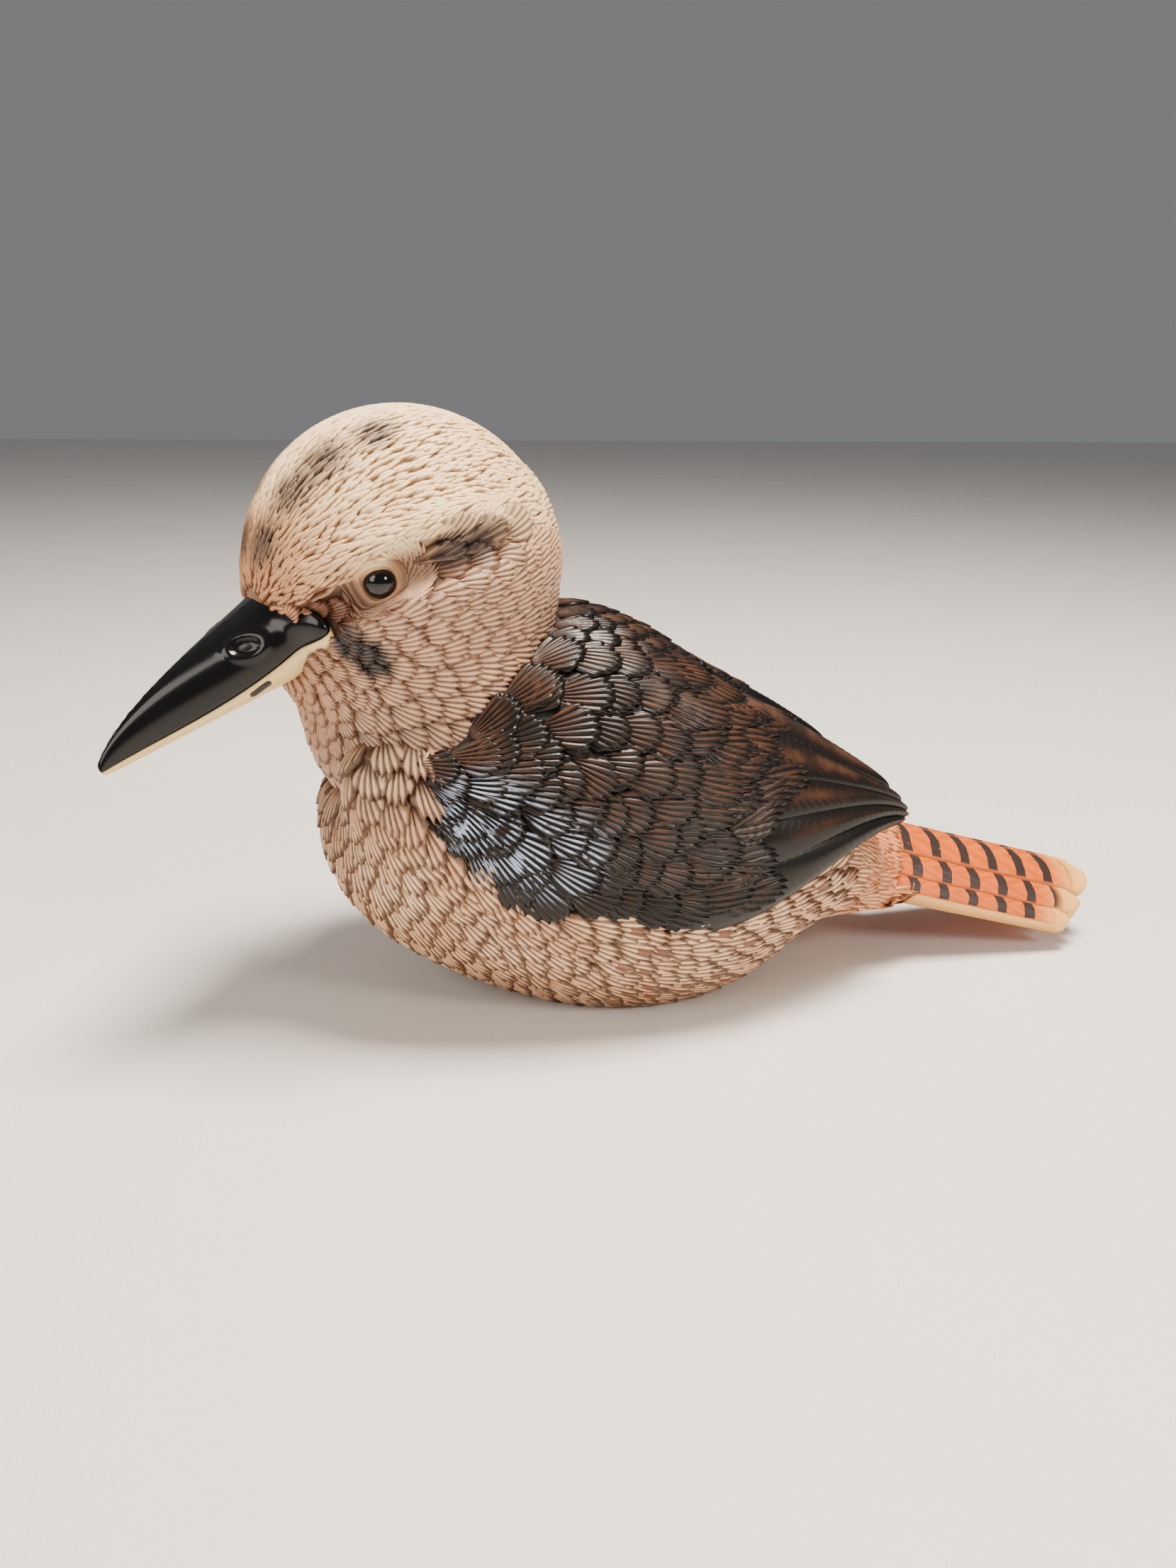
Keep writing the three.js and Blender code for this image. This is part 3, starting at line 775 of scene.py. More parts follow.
def rooted(form, centre, gap, keep, order):
    """Roots spread over a form, taken up in the order given, each with its own gap round it."""
    k = np.arange(PLACES_TRIED) + 0.5
    z, turn = 1 - 2 * k / PLACES_TRIED, k * math.pi * (3 - math.sqrt(5))
    ways = np.stack([np.cos(turn) * np.sqrt(1 - z * z), np.sin(turn) * np.sqrt(1 - z * z), z], -1)
    points = cast(form, centre, ways)
    points = points[keep(points)]
    points = points[np.argsort(order(points), kind="stable")]
    return points[spread(points, gap(points))]


def over_tail(p):
    """How far above the tail's own arch a point is."""
    along = (p[:, 0] - TAIL_ROOT[0]) / (TAIL_TIP[0] - TAIL_ROOT[0])
    return p[:, 2] - tail_point(along, p[:, 1] / lerp(*TAIL_HALF_WIDTH, along), 0)[:, 2]


def on_breast(p):
    back = (wing_share(p) < 0.5) & (p[:, 0] > -42)
    ahead_of_tail = (p[:, 0] < 44) | ((over_tail(p) < -3.5) & (p[:, 0] < 58))
    return (p[:, 2] > 1.2) & (head_form(p) > -0.5) & ~back & ahead_of_tail & clear_of_wing(p)


def round_turn(p):
    r = p - BREAST_TURN
    return np.arctan2(-r[:, 2], -r[:, 0])


def body_coat(name, roots, ways, size, paint, shape, template):
    lengths, halves = (mean * (0.9 + 0.2 * rng.random(len(roots))) for mean in size)
    place = laid_straight(body_form, roots, ways, lengths, halves)
    shade = seam_shade(roots)[:, None]
    piece = feather_coat(name, template, place, shape, 1.6, spots_on(roots, BODY_CENTRE), shade)
    paint.on(piece)


breast_roots = rooted(body_form, BODY_CENTRE, lambda p: np.full(len(p), BREAST_GAP), on_breast, round_turn)
breast_paint = Paint("breast_paint", 0.5)
breast_paint.feed("Base Color", breast_colour(breast_paint, breast_paint.attribute("ridge"), feathered=True))
in_front = breast_roots[:, 0] < -32
for name, chosen in (("breast_scales", in_front), ("belly_scales", ~in_front)):
    roots = breast_roots[chosen]
    r = roots - BREAST_TURN
    ways = np.stack([-r[:, 2], 0 * r[:, 1], r[:, 0]], -1) + rng.normal(0, 8, r.shape)
    turn = rng.random((len(r), 1))
    grooves = {"cut": 0.55, "turn": turn, "slant": 0.6, "jag": 0.12, "line": 0.8}
    fans = feather(2.8, blunt=0.55, sunk=1.3, rise=1.6, crown=0.6, **grooves)
    body_coat(name, roots, ways, BREAST_SIZE, breast_paint, fans, vane_template(6, 17))


# The back between the wings has rows of the wings' own dark fans. They are cast with the body, flatter
# than those of the breast, and painted together with the wings.
BACK_GAP = 5.2
BACK_SIZE = (10.5, 4.1)
BACK_FRONT_X, BACK_END_X = -40, 57


def on_back(p):
    inside = (wing_share(p) < 0.2) & (head_form(p) > -0.5) & (p[:, 2] > 36)
    return inside & (p[:, 0] > BACK_FRONT_X) & (p[:, 0] < BACK_END_X)


wing_paint = Paint("wing_paint", 0.33, Specular_IOR_Level=0.3)
wing_paint.feed("Base Color", wing_colour(wing_paint, wing_paint.attribute("ridge"), feathered=True))
back_roots = rooted(body_form, BODY_CENTRE, lambda p: np.full(len(p), BACK_GAP), on_back, lambda p: p[:, 0])
ways = np.stack([np.ones(len(back_roots)), 0.01 * back_roots[:, 1], np.zeros(len(back_roots))], -1)
turn = rng.random((len(back_roots), 1))
fans = feather(3.2, blunt=0.4, sunk=1.3, rise=1.2, crown=0.5, cut=0.4, turn=turn, slant=0.5)
body_coat("back_fans", back_roots, ways, BACK_SIZE, wing_paint, fans, vane_template(6, 20))


# The wings are folded against the body. Their coverts are cast fans in overlapping tiers that grow
# longer and pointed to the rear, painted near-black in the grooves and drybrushed brown, the brown
# stronger towards the top of the wing as a painted sheen, with a silvered patch in front.
COVERT_LANES = 8
COVERT_STEP = 0.056
COVERT_SIZE = (12.4, 5.4)


def wing_coat(name, side):
    along, down = [], []
    for lane, at in enumerate(np.linspace(0.06, 0.85, COVERT_LANES)):
        for x in np.arange(-0.025 + 0.5 * COVERT_STEP * (lane % 2), lerp(0.62, 0.5, at), COVERT_STEP):
            along.append(max(x, -0.015))
            down.append(at)
    along = np.array(along) + 0.006 * rng.standard_normal(len(along))
    down = np.clip(np.array(down) + 0.012 * rng.standard_normal(len(down)), 0.04, 0.88)
    roots = wing_point(along, down, side)[0]
    back = unit(wing_point(along + 0.02, down, side)[0] - roots)
    low = unit(wing_point(along, down + 0.02, side)[0] - roots)
    fall = 48 * (1 - smoothstep(along, 0.05, 0.6)) * lerp(0.5, 0.85, down)
    fall = np.radians(fall - 4 + 7 * rng.standard_normal(len(down)))
    ways = back * np.cos(fall)[:, None] + low * np.sin(fall)[:, None]
    grow = (1 + 0.45 * smoothstep(along, 0.25, 0.6)) * (0.92 + 0.16 * rng.random(len(along)))
    size = np.outer(COVERT_SIZE, grow * (1 - 0.25 * smoothstep(along, 0.1, 0.0)))
    pointed = (0.75 * smoothstep(along, 0.32, 0.55))[:, None]
    turn = np.where(pointed > 0.5, 0, rng.random((len(along), 1)))
    grooves = {"cut": 0.6, "turn": turn, "slant": lerp(0.4, 2.2, pointed), "jag": 0.05}
    fans = feather(3.8, pointed, blunt=0.42, sunk=0.9, rise=1.25, crown=0.6, tilt=0.3 * side, **grooves)
    place = laid_straight(wing_form, roots, ways, *size)
    lift = (WING_HEIGHT - 0.2) * smoothstep(along, -0.02, 0.1) + 0.9 * smoothstep(along, 0.35, 0.5)

    def lifted(s, a):
        far, wide, tall, ridge = fans(s, a)
        return far, wide, tall + lift[:, None], ridge

    spots = np.stack([0.5 + side * (0.05 + 0.4 * along), 0.05 + 0.9 * down, rng.random(len(along))], -1)
    piece = feather_coat(name, vane_template(9, 30), place, lifted, 0.7, spots, seam_shade(roots)[:, None])
    wing_paint.on(piece)


wing_coat("coverts_left", -1)
wing_coat("coverts_right", 1)


# The flight feathers are long strips that come out from under the coverts and run side by side to the
# wing's round tip, each a step lower than the one over it. They are near-black, with brown brushed along
# the middle of each strip as a painted sheen, less and less towards the lowest.
FLIGHT_LANES = 5
FLIGHT_START, FLIGHT_END = 0.42, 1.015
FLIGHT_SHEEN = np.array((1.0, 0.85, 0.65, 0.5, 0.3))[:, None]


def flight_coat(name, side):
    down = (np.arange(FLIGHT_LANES) + 0.5) / FLIGHT_LANES

    def place(s, a):
        across = down[:, None] + a * 0.6 / FLIGHT_LANES
        end = FLIGHT_END - 0.24 * np.abs(across - 0.62) ** 1.7
        return wing_point(FLIGHT_START + s * (end - FLIGHT_START), across, side)

    def shape(s, a):
        cuts = 0.5 + 0.5 * np.cos(2 * np.pi * (2.2 * np.abs(a) - 34 * s))
        at_edge = smoothstep(np.abs(a), 0.1, 0.5) * (1 - smoothstep(np.abs(a), 0.85, 1))
        tier = 0.25 * np.arange(FLIGHT_LANES)[::-1, None]
        tall = WING_HEIGHT + lerp(-0.9, 0.0, smoothstep(s, 0.05, 0.4)) + tier * smoothstep(s, 0.2, 0.6)
        tall = tall + 1.2 * (1 - a**2) ** 0.6 - 0.16 * at_edge * (1 - cuts) - 0.3 * s**40
        # The ridge value is highest along each strip's rounded middle and on the upper strips: a painted
        # sheen. The cuts near the edges stay darker.
        ridge = (1 - 0.95 * np.abs(a) ** 1.2) * (0.9 - 0.6 * at_edge * (1 - cuts)) * FLIGHT_SHEEN
        return s, a * np.sqrt(1 - 0.35 * smoothstep(s, 0.95, 1.01)), tall, ridge * (1 - s**20)

    spots = [np.full(FLIGHT_LANES, 0.5 + 0.3 * side), 0.05 + 0.9 * down, rng.random(FLIGHT_LANES)]
    piece = feather_coat(name, vane_template(150, 12), place, shape, 0.6, np.stack(spots, -1))
    wing_paint.on(piece)


flight_coat("flight_feathers_left", -1)
flight_coat("flight_feathers_right", 1)


# The head is cut all over with short fine strokes, which flow back from the bill. On the cheeks, the
# nape and the throat they turn into small grooved fans, and behind the eye into a sheaf of barbs.
BILL_BASE = np.array((-34.0, 0.0, -9.0))
BILL_AT = np.array((-23.5, 0.0, -6.5))
BILL_DIP = math.radians(33)
SKULL_RADIUS = 33
LID_ALONG = unit(np.array((8.0, 3.0, 3.4)))
LID_AHEAD, LID_BEHIND, LID_HALF = 7.5, 5.5, 4.2

# Where the feathers begin round the bill, as heights over its axis and how far ahead they reach there,
# and the edge of the brow, as places along the head and heights.
FRINGE = (
    (-14, -10.5, -8.3, -3, -2.4, 1.8, 2.6, 3.6, 4.9, 6.7),
    (90, 12.5, 11.8, 6.1, 1, 1, 3.8, 7, 6.7, 7.7),
)
BROW_EDGE = ((-32, -26, -20.6, -16.8, -8.3, 2, 12, 30), (-6, -3.6, 2.0, 4.5, 8.2, 10.4, 9, 2))


def head_place_of(form_place):
    def place(s, a):
        at, out = form_place(s, a)
        turned = turn_head(at)
        return turned, turn_head(at + out) - turned

    return place


def head_coat(name, template, roots, ways, lengths, halves, shape, depth):
    place = head_place_of(laid_straight(skull_form, roots, ways, lengths, halves))
    # Painted shade where head meets body and in the hollows of the eyes.
    shade = np.maximum(seam_shade(turn_head(roots)), 0.85 * recess(roots))[:, None]
    piece = feather_coat(name, template, place, shape, depth, spots_on(roots, SKULL_CENTRE), shade)
    head_paint.on(piece)


def ringed(step, across, disorder, near=1.0):
    """Roots in rings that widen from the bill's base over the whole head, each half a place on from the last.
    Beside the bill they are near times as far apart as at the nape."""
    pole = unit(BILL_BASE - SKULL_CENTRE)
    side = np.array((0.0, 1.0, 0.0))
    top = np.cross(pole, side)
    ways, angle, odd = [], 0.2, 0
    while angle < math.pi - 0.05:
        grow = lerp(near, 1, smoothstep(angle, 0.3, 1.2))
        count = max(int(2 * math.pi * SKULL_RADIUS * math.sin(angle) / across / grow), 3)
        turn = 2 * np.pi * (np.arange(count) + 0.5 * odd + disorder * rng.uniform(-0.5, 0.5, count)) / count
        tilt = angle + disorder * step * grow / SKULL_RADIUS * rng.uniform(-0.5, 0.5, count)
        flat = np.cos(turn)[:, None] * side + np.sin(turn)[:, None] * top
        ways.append(np.cos(tilt)[:, None] * pole + np.sin(tilt)[:, None] * flat)
        angle, odd = angle + step * grow / SKULL_RADIUS, 1 - odd
    roots = cast(skull_form, SKULL_CENTRE, np.concatenate(ways))
    return roots[(body_form(turn_head(roots)) > -0.8) & behind_bill(roots)]


def behind_bill(p):
    """Whether a point of the head is behind the line where the feathers begin round the bill."""
    x, z = (p - BILL_AT)[:, (0, 2)].T
    ahead = -x * math.cos(BILL_DIP) - z * math.sin(BILL_DIP)
    up = z * math.cos(BILL_DIP) - x * math.sin(BILL_DIP)
    return ahead < np.interp(up, *FRINGE)


def from_lid(p):
    """How far out of the smooth lids a point is: 1 on their edge."""
    q = np.stack([p[:, 0], np.abs(p[:, 1]), p[:, 2]], -1) - np.array(EYE_SEAT)
    along = q @ LID_ALONG
    across = np.linalg.norm(q - along[:, None] * LID_ALONG, axis=1)
    return np.hypot(along / np.where(along < 0, LID_AHEAD, LID_BEHIND), across / LID_HALF)


def over_brow(p):
    """How far above the brow's edge a point of the head is."""
    return p[:, 2] - np.interp(p[:, 0], *BROW_EDGE)


head_paint = Paint("head_paint", 0.45)
head_paint.feed("Base Color", head_colour(head_paint, head_paint.attribute("ridge"), feathered=True))

# Fine strokes over the crown.
roots = ringed(1.3, 1.05, 0.8)
roots = roots[(over_brow(roots) > 0) & (from_lid(roots) > 1) & (roots[:, 0] < 24)]
count = len(roots)
ways = roots - BILL_BASE + rng.normal(0, 1.5, (count, 3))


def stroke(s, a):
    crest = np.sin(np.pi * np.clip(0.08 + 0.8 * s, 0, 1))
    tall = 0.32 * (1 - a * a) * crest + 0.06 + 0.22 * s - 0.4 * (s < 0.01)
    return s, a * np.sin(np.pi * np.clip(0.15 + 0.83 * s, 0, 1)) ** 0.7, tall, 1 - 0.8 * np.abs(a)


lengths, halves = 3.4 + 1.2 * rng.random(count), 0.46 + 0.14 * rng.random(count)
head_coat("crown_strokes", vane_template(3, 2), roots, ways, lengths, halves, stroke, 0.8)

# Fans over cheeks, throat and nape. They are small beside the bill and grow with the way from it.
FAN_SIZE = np.array((9.4, 4.2))
FAN_GAP_LEAST, FAN_GAP = 2.3, 4.5


def way_from_bill(p):
    return np.linalg.norm(p - BILL_BASE, axis=1)


def fan_share(p):
    return lerp(FAN_GAP_LEAST / FAN_GAP, 1, smoothstep(way_from_bill(p), 10, 38))


def on_cheek(p):
    below = (over_brow(p) < -1.5) | (p[:, 0] > 22)
    return below & (from_lid(p) > 1.8) & (body_form(turn_head(p)) > -1.2) & behind_bill(p)


cheek_roots = rooted(skull_form, SKULL_CENTRE, lambda p: FAN_GAP * fan_share(p), on_cheek, way_from_bill)
for name, chosen in (("cheek_fans", cheek_roots[:, 0] < 4), ("nape_fans", cheek_roots[:, 0] >= 4)):
    roots = cheek_roots[chosen]
    count = len(roots)
    size = np.outer(FAN_SIZE, fan_share(roots) * (0.92 + 0.16 * rng.random(count)))
    ways = roots - BILL_BASE + rng.normal(0, 3.5, (count, 3))
    grooves = {"cut": 0.4, "turn": rng.random((count, 1)), "slant": 0.6, "jag": 0.08, "line": 0.85}
    fans = feather(3.2, blunt=0.5, sunk=1.1, rise=1.25, crown=0.4, **grooves)
    head_coat(name, vane_template(6, 24), roots, ways, *size, fans, 1.4)

# Round the lids the skin lies in long fine creases.
creases = []
eye_out = unit(slope_of(skull_form, np.array([EYE_SEAT])))[0]
lid_up = np.cross(eye_out, LID_ALONG)
lid_up = lid_up * np.sign(lid_up[2])
for ring in (1.08, 1.24, 1.4, 1.58, 1.76):
    for turn in np.radians(np.arange(-195, 60, 13 / ring)) + rng.uniform(0, 0.2):
        reach = LID_AHEAD if math.cos(turn) < 0 else LID_BEHIND
        at = EYE_SEAT + ring * (reach * math.cos(turn) * LID_ALONG + LID_HALF * math.sin(turn) * lid_up)
        way = -reach * math.sin(turn) * LID_ALONG + LID_HALF * math.cos(turn) * lid_up
        creases += [(*at * (1, side, 1), *way * (1, side, 1)) for side in (-1, 1)]
creases = np.array(creases)
crease_roots = on_skin(skull_form, creases[:, :3])[0]
shown = (over_brow(crease_roots) < -0.3) & behind_bill(crease_roots)
crease_roots, ways = crease_roots[shown], creases[shown, 3:]
count = len(crease_roots)
lengths, halves = 4.6 + rng.random(count), 0.5 + 0.1 * rng.random(count)
head_coat("eye_creases", vane_template(5, 2), crease_roots, ways, lengths, halves, stroke, 0.8)

# Behind the eye a sheaf of barbs spreads to both sides of the dark stripe.
SHEAF_ENDS = np.array(((-11.5, 28.5, 3.8), (7.0, 30.0, 8.8)))
sheaf = []
for side in (-1, 1):
    for share in np.linspace(0, 1, 20):
        at = lerp(*SHEAF_ENDS, share)
        for lean in (-1, 1):
            sheaf.append((*at * (1, side, 1), 1.0, 0.1 * side, 0.42 + lean * lerp(0.3, 0.85, share)))
sheaf = np.array(sheaf)
sheaf_roots = on_skin(skull_form, sheaf[:, :3])[0]
count = len(sheaf)
lengths, halves = 5.6 + 1.6 * rng.random(count), 0.55 + 0.15 * rng.random(count)


def barb(s, a):
    far, wide, tall, ridge = stroke(s, a)
    return far, wide, 1.7 * tall, ridge * smoothstep(s, 0.1, 0.7)


head_coat("eye_sheaf", vane_template(6, 4), sheaf_roots, sheaf[:, 3:], lengths, halves, barb, 0.8)


# The lids are a smooth almond round each eye, cast with a raised rim where the bead is set in, and with
# fine creases round it. They are painted like the rest of the head.
LID_SIZE = (-8.6, 7.0, 5.4)


def lid_place(s, a):
    u, v = lerp(LID_SIZE[0], LID_SIZE[1], s), a
    side = np.array((-1.0, 1.0))[:, None]
    p = np.array(EYE_SEAT) + u[..., None] * LID_ALONG + v[..., None] * lid_up
    p = np.stack([p[..., 0], p[..., 1] * side, p[..., 2]], -1)
    return on_skin(skull_form, p)


def lid_shape(s, a):
    u = lerp(LID_SIZE[0], LID_SIZE[1], s)
    v = a * LID_SIZE[2] * np.sqrt(1 - 0.8 * (2 * s - 1) ** 2)
    near = np.hypot(u, v)
    crease = 0.5 + 0.5 * np.cos(2 * np.pi * (np.hypot(u / 1.3, v) - 3.4) / 1.15)
    outside = smoothstep(near, 3.9, 5.0)
    edge = np.maximum(np.abs(2 * s - 1) ** 6, np.abs(a) ** 6)
    tall = 0.25 + 0.6 * np.exp(-(((near - 3.75) / 0.5) ** 2)) + 0.35 * (crease - 1) * outside - 0.6 * edge
    return s, v, tall, lerp(0.7, crease, 0.8 * outside)


lid_template = vane_template(96, 64)
lid_s, lid_a = (np.tile(shares, (2, 1)) for shares in lid_template[:2])
lid_shade = 0.85 * recess(lid_place(lid_s, lid_shape(lid_s, lid_a)[1])[0])
lid_spots = np.array(((0.3, 0.4, 0.5), (0.7, 0.4, 0.5)))
lids = feather_coat("eyelids", lid_template, head_place_of(lid_place), lid_shape, 1.2, lid_spots, lid_shade)
head_paint.on(lids)


# The tail is an arched fan of six flat cast feathers, each lying over the one outside it. They are
# painted orange, with dark bars put on across by hand, and fade to cream at the tips and on the thick
# outer edge.
TAIL_CREAM = tint(240, 180, 100)
BAR = tint(44, 30, 26)
BAR_GAP = 8.0
TAIL_MIDDLES = np.array((-0.92, -0.71, -0.29, 0.29, 0.71, 0.92))[:, None]
TAIL_HALVES = np.array((0.09, 0.14, 0.3, 0.3, 0.14, 0.09))[:, None]
TAIL_TIERS = np.array((0, 1, 2, 2, 1, 0))[:, None]
TAIL_CHANCES = (0.92, 0.3, 0.7, 0.5, 0.15, 0.98)  # where each feather's bars begin, and over 0.9 a pale edge
TAIL_EDGE = (6.0, 3.6)


def arched(along, across):
    """A place on the tail's arch and the way out of it there."""
    here = tail_point(along, across, TAIL_THICKNESS / 2)
    ahead = tail_point(along + 0.01, across, TAIL_THICKNESS / 2)
    beside = tail_point(along, across + 0.01, TAIL_THICKNESS / 2)
    out = unit(np.cross(ahead - here, beside - here))
    return here, lerp(out, np.array((0.0, 0.0, 1.0)), 0.5)


def tail_place(s, a):
    return arched(lerp(-0.04, 1 - TAIL_ROUNDING * TAIL_MIDDLES**2, s), TAIL_MIDDLES + a * TAIL_HALVES)


def tail_shape(s, a):
    wave = 0.5 + 0.5 * np.cos(2 * np.pi * (1.6 * np.abs(a) - 12 * s))
    edge = np.maximum(np.abs(a) ** 8, s**60)
    rib = np.exp(-((a / 0.12) ** 2)) * (1 - smoothstep(s, 0.85, 1))
    tall = -0.1 + 0.4 * TAIL_TIERS + 0.25 * (1 - a * a) + 0.09 * (wave - 1) + 0.15 * rib - 0.25 * edge
    wide = a * np.sqrt(1 - 0.6 * smoothstep(s, 0.96, 1.01))
    ridge = (0.45 + 0.55 * wave) * (1 - 0.8 * smoothstep(np.abs(a), 0.86, 1))
    return s * (1 - 0.02 * a * a), wide, tall, ridge


def tail_depth(s, a):
    """The outer edges stand down like a thick rim."""
    return np.where(a * TAIL_MIDDLES > 0.5, lerp(*TAIL_EDGE, s), 1.4)


def barred_colour(paint, ridge):
    reach, side = paint.attribute("reach"), paint.attribute("side")
    x = body_place(paint)[0]
    outermost = paint.attribute("chance").step(0.86, 0.9)
    place = (x + paint.attribute("chance") * 2.5 + side * side * 0.8 + paint.noise(5) * 1.6) / BAR_GAP
    bars = place.math("FRACT").math("COMPARE", 0.5, 0.17) * side.math("ABSOLUTE").step(0.95, 0.85)
    bars = bars * reach.step(0.95, 0.9)
    pale = reach.step(0.84, 1.0).math("MAXIMUM", side.math("ABSOLUTE").step(0.94, 0.99) * outermost)
    colour = paint.mix(pale, tail_colour(paint, ridge), TAIL_CREAM)
    return paint.mix((bars * paint.noise(1.5).step(0.2, 0.35)).clamped(), colour, BAR)


tail_spots = np.stack([np.full(6, 0.95), 0.5 + 0.45 * TAIL_MIDDLES[:, 0], TAIL_CHANCES], -1)
tail = feather_coat("tail_feathers", vane_template(96, 14), tail_place, tail_shape, tail_depth, tail_spots)
tail_paint = Paint("tail_paint", 0.42)
tail_paint.feed("Base Color", barred_colour(tail_paint, tail_paint.attribute("ridge")))
tail_paint.on(tail)


# Over the joint of body and tail lie tan feathers of the rump, cast with the body. They follow a form
# that blends the two, and leave the top free between the wings, where the dark back ends.
RUMP_ROWS = np.arange(43, 65, 4.2)
RUMP_SIZE, RUMP_SPREAD = (9.5, 3.4), (2.0, 0.5)


def tail_slab(p):
    along = np.clip((p[..., 0] - TAIL_ROOT[0]) / (TAIL_TIP[0] - TAIL_ROOT[0]), -0.3, 0.6)
    half = lerp(*TAIL_HALF_WIDTH, along)
    middle = tail_point(along, np.minimum(np.abs(p[..., 1]) / half, 1.2), 0)[..., 2]
    return np.maximum(np.abs(p[..., 2] - middle) - TAIL_THICKNESS / 2 - 0.4, np.abs(p[..., 1]) - half)


rump_form = blend(9, body_form, tail_slab)
rump = []
for row, x in enumerate(RUMP_ROWS):
    for turn in np.arange(0, 2 * math.pi, 0.32) + 0.16 * (row % 2):
        rump.append((x, 22 * math.sin(turn), 29 - 0.3 * (x - 55) + 18 * math.cos(turn)))
rump_roots = on_skin(rump_form, np.array(rump) + rng.normal(0, 0.4, (len(rump), 3)), steps=14)[0]
above = over_tail(rump_roots) > -2
on_top = above & (rump_roots[:, 0] < 55) & (np.abs(rump_roots[:, 1]) < 16)
under_tail = ~above & (rump_roots[:, 0] > 57)
rump_roots = rump_roots[clear_of_wing(rump_roots) & (rump_roots[:, 2] > 2) & ~on_top & ~under_tail]
count = len(rump_roots)
ways = np.array((1.0, 0.0, -0.3)) * (1 - 0.02 * rump_roots * (0, 1, 0)) + rng.normal(0, 0.08, (count, 3))
size = (least + more * rng.random(count) for least, more in zip(RUMP_SIZE, RUMP_SPREAD))
place = laid_straight(rump_form, rump_roots, ways, *size)
grooves = {"cut": 0.45, "turn": rng.random((count, 1)), "jag": 0.1}
fans = feather(2.6, pointed=0.35, sunk=0.9, rise=1.0, crown=0.4, **grooves)
rump_spots = spots_on(rump_roots, BODY_CENTRE)
rump_piece = feather_coat("rump_feathers", vane_template(7, 16), place, fans, 2.6, rump_spots)
breast_paint.on(rump_piece)


# The bill is two smooth halves under a thick coat of gloss, black above and cream yellow below. The
# upper one has a nostril with a raised rim on each side, and the line where they meet sags towards the
# middle.
BILL_LENGTH, BILL_ROOT = 51.0, 10.0
BILL_HALF_WIDTH, UPPER_DEPTH, LOWER_DEPTH = 16.0, 7.0, 12.0
MOUTH_SAG, BILL_DROOP = 3.5, 1.2
BILL_GRID = (120, 112)


def bill_width(t):
    return BILL_HALF_WIDTH * (0.045 + 0.955 * (1 - np.clip(t, 0, 1)) ** 1.2)


def upper_depth(t):
    return UPPER_DEPTH * (0.07 + 0.93 * (1 - np.clip(t, 0, 1) ** 2.8) ** 0.62)


def lower_depth(t):
    return LOWER_DEPTH * (0.08 + 0.92 * (1 - np.clip(t, 0, 1)) ** 0.8)


def bill_point(along, y, z):
    c, s = math.cos(BILL_DIP), math.sin(BILL_DIP)
    x, z = -along * c - z * s, z * c - along * s
    return turn_head(np.stack([x, y, z], -1) + BILL_AT)


def mandible(name, width_of, depth_of, side, flare, relief):
    """One half of the bill, which flares out to the corner of the mouth."""
    stations, segments = BILL_GRID
    bm = bmesh.new()
    ring = bmesh.ops.create_circle(bm, segments=segments, radius=1)["verts"]
    for _ in range(stations - 1):
        edges = {e for v in ring for e in v.link_edges if e.other_vert(v) in ring}
        made = bmesh.ops.extrude_edge_only(bm, edges=list(edges))
        ring = [v for v in made["geom"] if isinstance(v, bmesh.types.BMVert)]
    bmesh.ops.holes_fill(bm, edges=[e for e in bm.edges if e.is_boundary], sides=0)
    p = places_of(bm)
    share = np.sin(np.linspace(0, math.pi / 2, stations))
    along = np.repeat(lerp(-BILL_ROOT, BILL_LENGTH, share), segments)
    angle = np.arctan2(p[:, 1], p[:, 0])
    t = along / BILL_LENGTH
    bulge = np.clip(np.sin(angle), 0, None) ** 0.85
    sag = -MOUTH_SAG * np.sin(np.pi * np.clip(t, 0, 1) ** 0.8)
    flare = flare * smoothstep(along, 8.5, 3) * smoothstep(along, 0, 2.4)
    y = (width_of(t) + flare * np.cos(angle) ** 2) * np.cos(angle)
    z = lerp(sag + side * 0.12, side * depth_of(t), bulge) - BILL_DROOP * np.clip(t, 0, 1) ** 4
    lift = relief(along, angle)
    y, z = y + lift * np.cos(angle), z + side * lift * np.sin(angle)
    move_all(bm, bill_point(along, -side * y, z))
    bmesh.ops.recalc_face_normals(bm, faces=bm.faces[:])
    piece = finished(name, bm)
    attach(piece, "root")
    return piece


NOSTRIL_AT, NOSTRIL_UP = 15.2, math.radians(37)


def upper_relief(along, angle):
    """A nostril on each side, and the casting's seam along the top."""
    lean = np.where(np.abs(angle) < math.pi / 2, angle, math.pi - angle)
    u, v = along - NOSTRIL_AT, (lean - NOSTRIL_UP) * 9
    u, v = u * 0.92 + v * 0.39, v * 0.92 - u * 0.39
    near = np.hypot(u / 2.7, v / 1.7)
    pit = -0.5 * (1 - smoothstep(near, 0.7, 1.1))
    rim = 0.55 * np.exp(-(((near - 1.35) / 0.3) ** 2))
    seam = 0.25 * np.exp(-(((angle - math.pi / 2) / 0.1) ** 2))
    lumps = 0.5 + 0.5 * np.sin(along * 2.1) * np.sin(along * 0.83)
    return (pit + rim) * (np.sin(angle) > 0) + seam * lumps


SLOT_AT, SLOT_DOWN = 18.0, math.radians(15)
SLOT_LINE = ((-34.4, 9.4, -19.7), (-37, 8.4, -21.8), 0.6, 1.0)


def lower_relief(along, angle):
    """A small slot under the line of the mouth on each side."""
    lean = np.where(np.abs(angle) < math.pi / 2, angle, math.pi - angle)
    near = np.hypot((along - SLOT_AT) / 2.4, (lean - SLOT_DOWN) * 9 / 0.9)
    return -0.5 * (1 - smoothstep(near, 0.5, 1.1)) * (np.sin(angle) > 0)


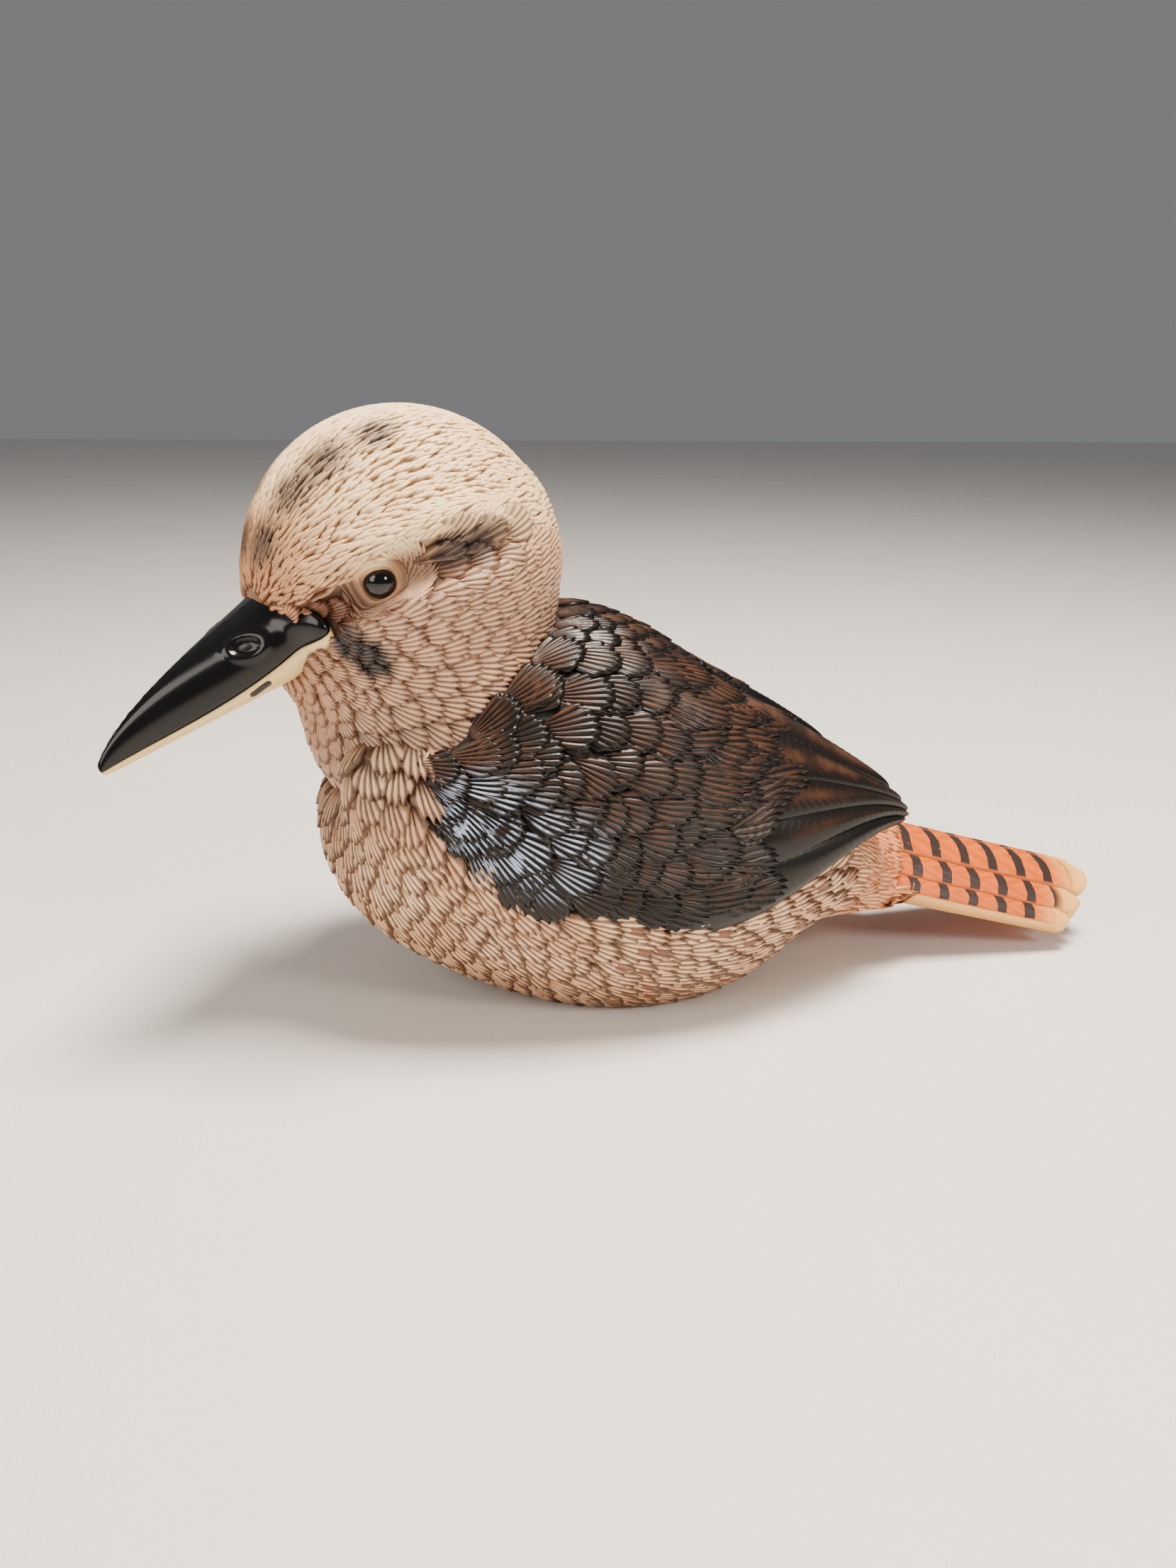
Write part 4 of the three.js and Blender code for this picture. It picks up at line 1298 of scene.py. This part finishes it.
bill_upper = mandible("bill_top", bill_width, upper_depth, 1, 4.4, upper_relief)
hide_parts("bill_upper")
bill_lower = mandible("bill_bottom", lambda t: 0.94 * bill_width(t), lower_depth, -1, 5.2, lower_relief)
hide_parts("bill_lower")
black_gloss = Paint("bill_black", 0.17, Specular_IOR_Level=0.35)
black_gloss.feed("Base Color", black_gloss.mix(black_gloss.noise(3), tint(6, 5, 6), tint(13, 11, 11)))
black_gloss.on(bill_upper)
cream_gloss = Paint("bill_cream", 0.3)
cream = cream_gloss.mix(cream_gloss.noise(6), tint(232, 194, 122), tint(244, 220, 160))
in_slot = near_line(cream_gloss, joined_vector(cream_gloss, *head_place(cream_gloss)), *SLOT_LINE)
cream_gloss.feed("Base Color", cream_gloss.mix(in_slot, cream, tint(24, 18, 15)))
cream_gloss.on(bill_lower)


# The eyes are polished black beads of glass or resin. Each is glued into its lids, set deep enough to
# leave only a dome showing.
EYE_RADIUS, EYE_SUNK = 3.3, 2.8
eye_gloss = Paint("eye_gloss", 0.08)
eye_gloss.feed("Base Color", eye_gloss.mix(eye_gloss.noise(2), tint(4, 4, 6), tint(10, 9, 9)))
eye_at, eye_way = on_skin(whole_skull, np.array([EYE_SEAT]))
for name, side, node in (("bead_left", -1, "eye_left"), ("bead_right", 1, "eye_right")):
    bm = bmesh.new()
    bmesh.ops.create_icosphere(bm, subdivisions=5, radius=EYE_RADIUS)
    centre = (eye_at - EYE_SUNK * eye_way)[0] * (1, side, 1)
    move_all(bm, turn_head(places_of(bm) + centre))
    bead = finished(name, bm)
    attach(bead, "root")
    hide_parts(node)
    eye_gloss.on(bead)


# The stage is a plain pale table top under soft light: one lamp overhead, a window on the bill's side
# and a small lamp in front. The camera stands where the photograph was taken from.
TABLE_HALF = 3000
bm = bmesh.new()
bmesh.ops.create_grid(bm, x_segments=1, y_segments=1, size=TABLE_HALF)
floor = finished("floor", bm, smooth=False)
table_paint = Paint("pale_table", 0.6)
table_colour = table_paint.mix(table_paint.noise(60), tint(222, 218, 212), tint(230, 226, 221))
table_paint.feed("Base Color", table_colour)
table_paint.on(floor)

world = bpy.data.worlds.new("room")
bpy.context.scene.world = world
world.use_nodes = True
room = world.node_tree.nodes["Background"].inputs
room["Color"].default_value = (0.95, 0.95, 1.0, 1)
room["Strength"].default_value = 0.21


def soft_light(name, place, size, power, colour):
    lamp = bpy.data.lights.new(name, "AREA")
    lamp.shape, lamp.size, lamp.size_y = "RECTANGLE", *size
    lamp.energy, lamp.color = power, colour
    holder = bpy.data.objects.new(name, lamp)
    bpy.context.scene.collection.objects.link(holder)
    holder.location = place
    aim = Vector((0, 0, 0.06)) - holder.location
    holder.rotation_euler = aim.to_track_quat("-Z", "Y").to_euler()


soft_light("overhead", (0.12, -0.05, 0.85), (0.3, 0.25), 22, (1.0, 0.9, 0.78))
soft_light("window", (-0.75, -0.45, 0.5), (0.5, 0.6), 5.5, (1.0, 0.94, 0.86))
soft_light("lamp", (0.45, -0.6, 0.5), (0.2, 0.2), 3.5, (1.0, 0.9, 0.78))

CAMERA_AT = (-0.0710, -0.2605, 0.137)
CAMERA_AZIMUTH, CAMERA_PITCH, CAMERA_ROLL = (math.radians(angle) for angle in (-12, 18.6, 0.7))
FOCAL_LENGTH, FRAME_HEIGHT = 1661, 2212  # both in pixels of the photograph
camera = bpy.data.objects.new("camera", bpy.data.cameras.new("camera"))
bpy.context.scene.collection.objects.link(camera)
bpy.context.scene.camera = camera
camera.data.lens = FOCAL_LENGTH / FRAME_HEIGHT * camera.data.sensor_width
camera.data.clip_start = 0.01
flat_way = Vector((-math.sin(CAMERA_AZIMUTH), math.cos(CAMERA_AZIMUTH), 0))
right = Vector((math.cos(CAMERA_AZIMUTH), math.sin(CAMERA_AZIMUTH), 0))
look = flat_way * math.cos(CAMERA_PITCH) - Vector((0, 0, 1)) * math.sin(CAMERA_PITCH)
up = right.cross(look)
turned = Matrix((right, up, -look)).transposed() @ Matrix.Rotation(CAMERA_ROLL, 3, "Z")
camera.matrix_world = Matrix.Translation(CAMERA_AT) @ turned.to_4x4()
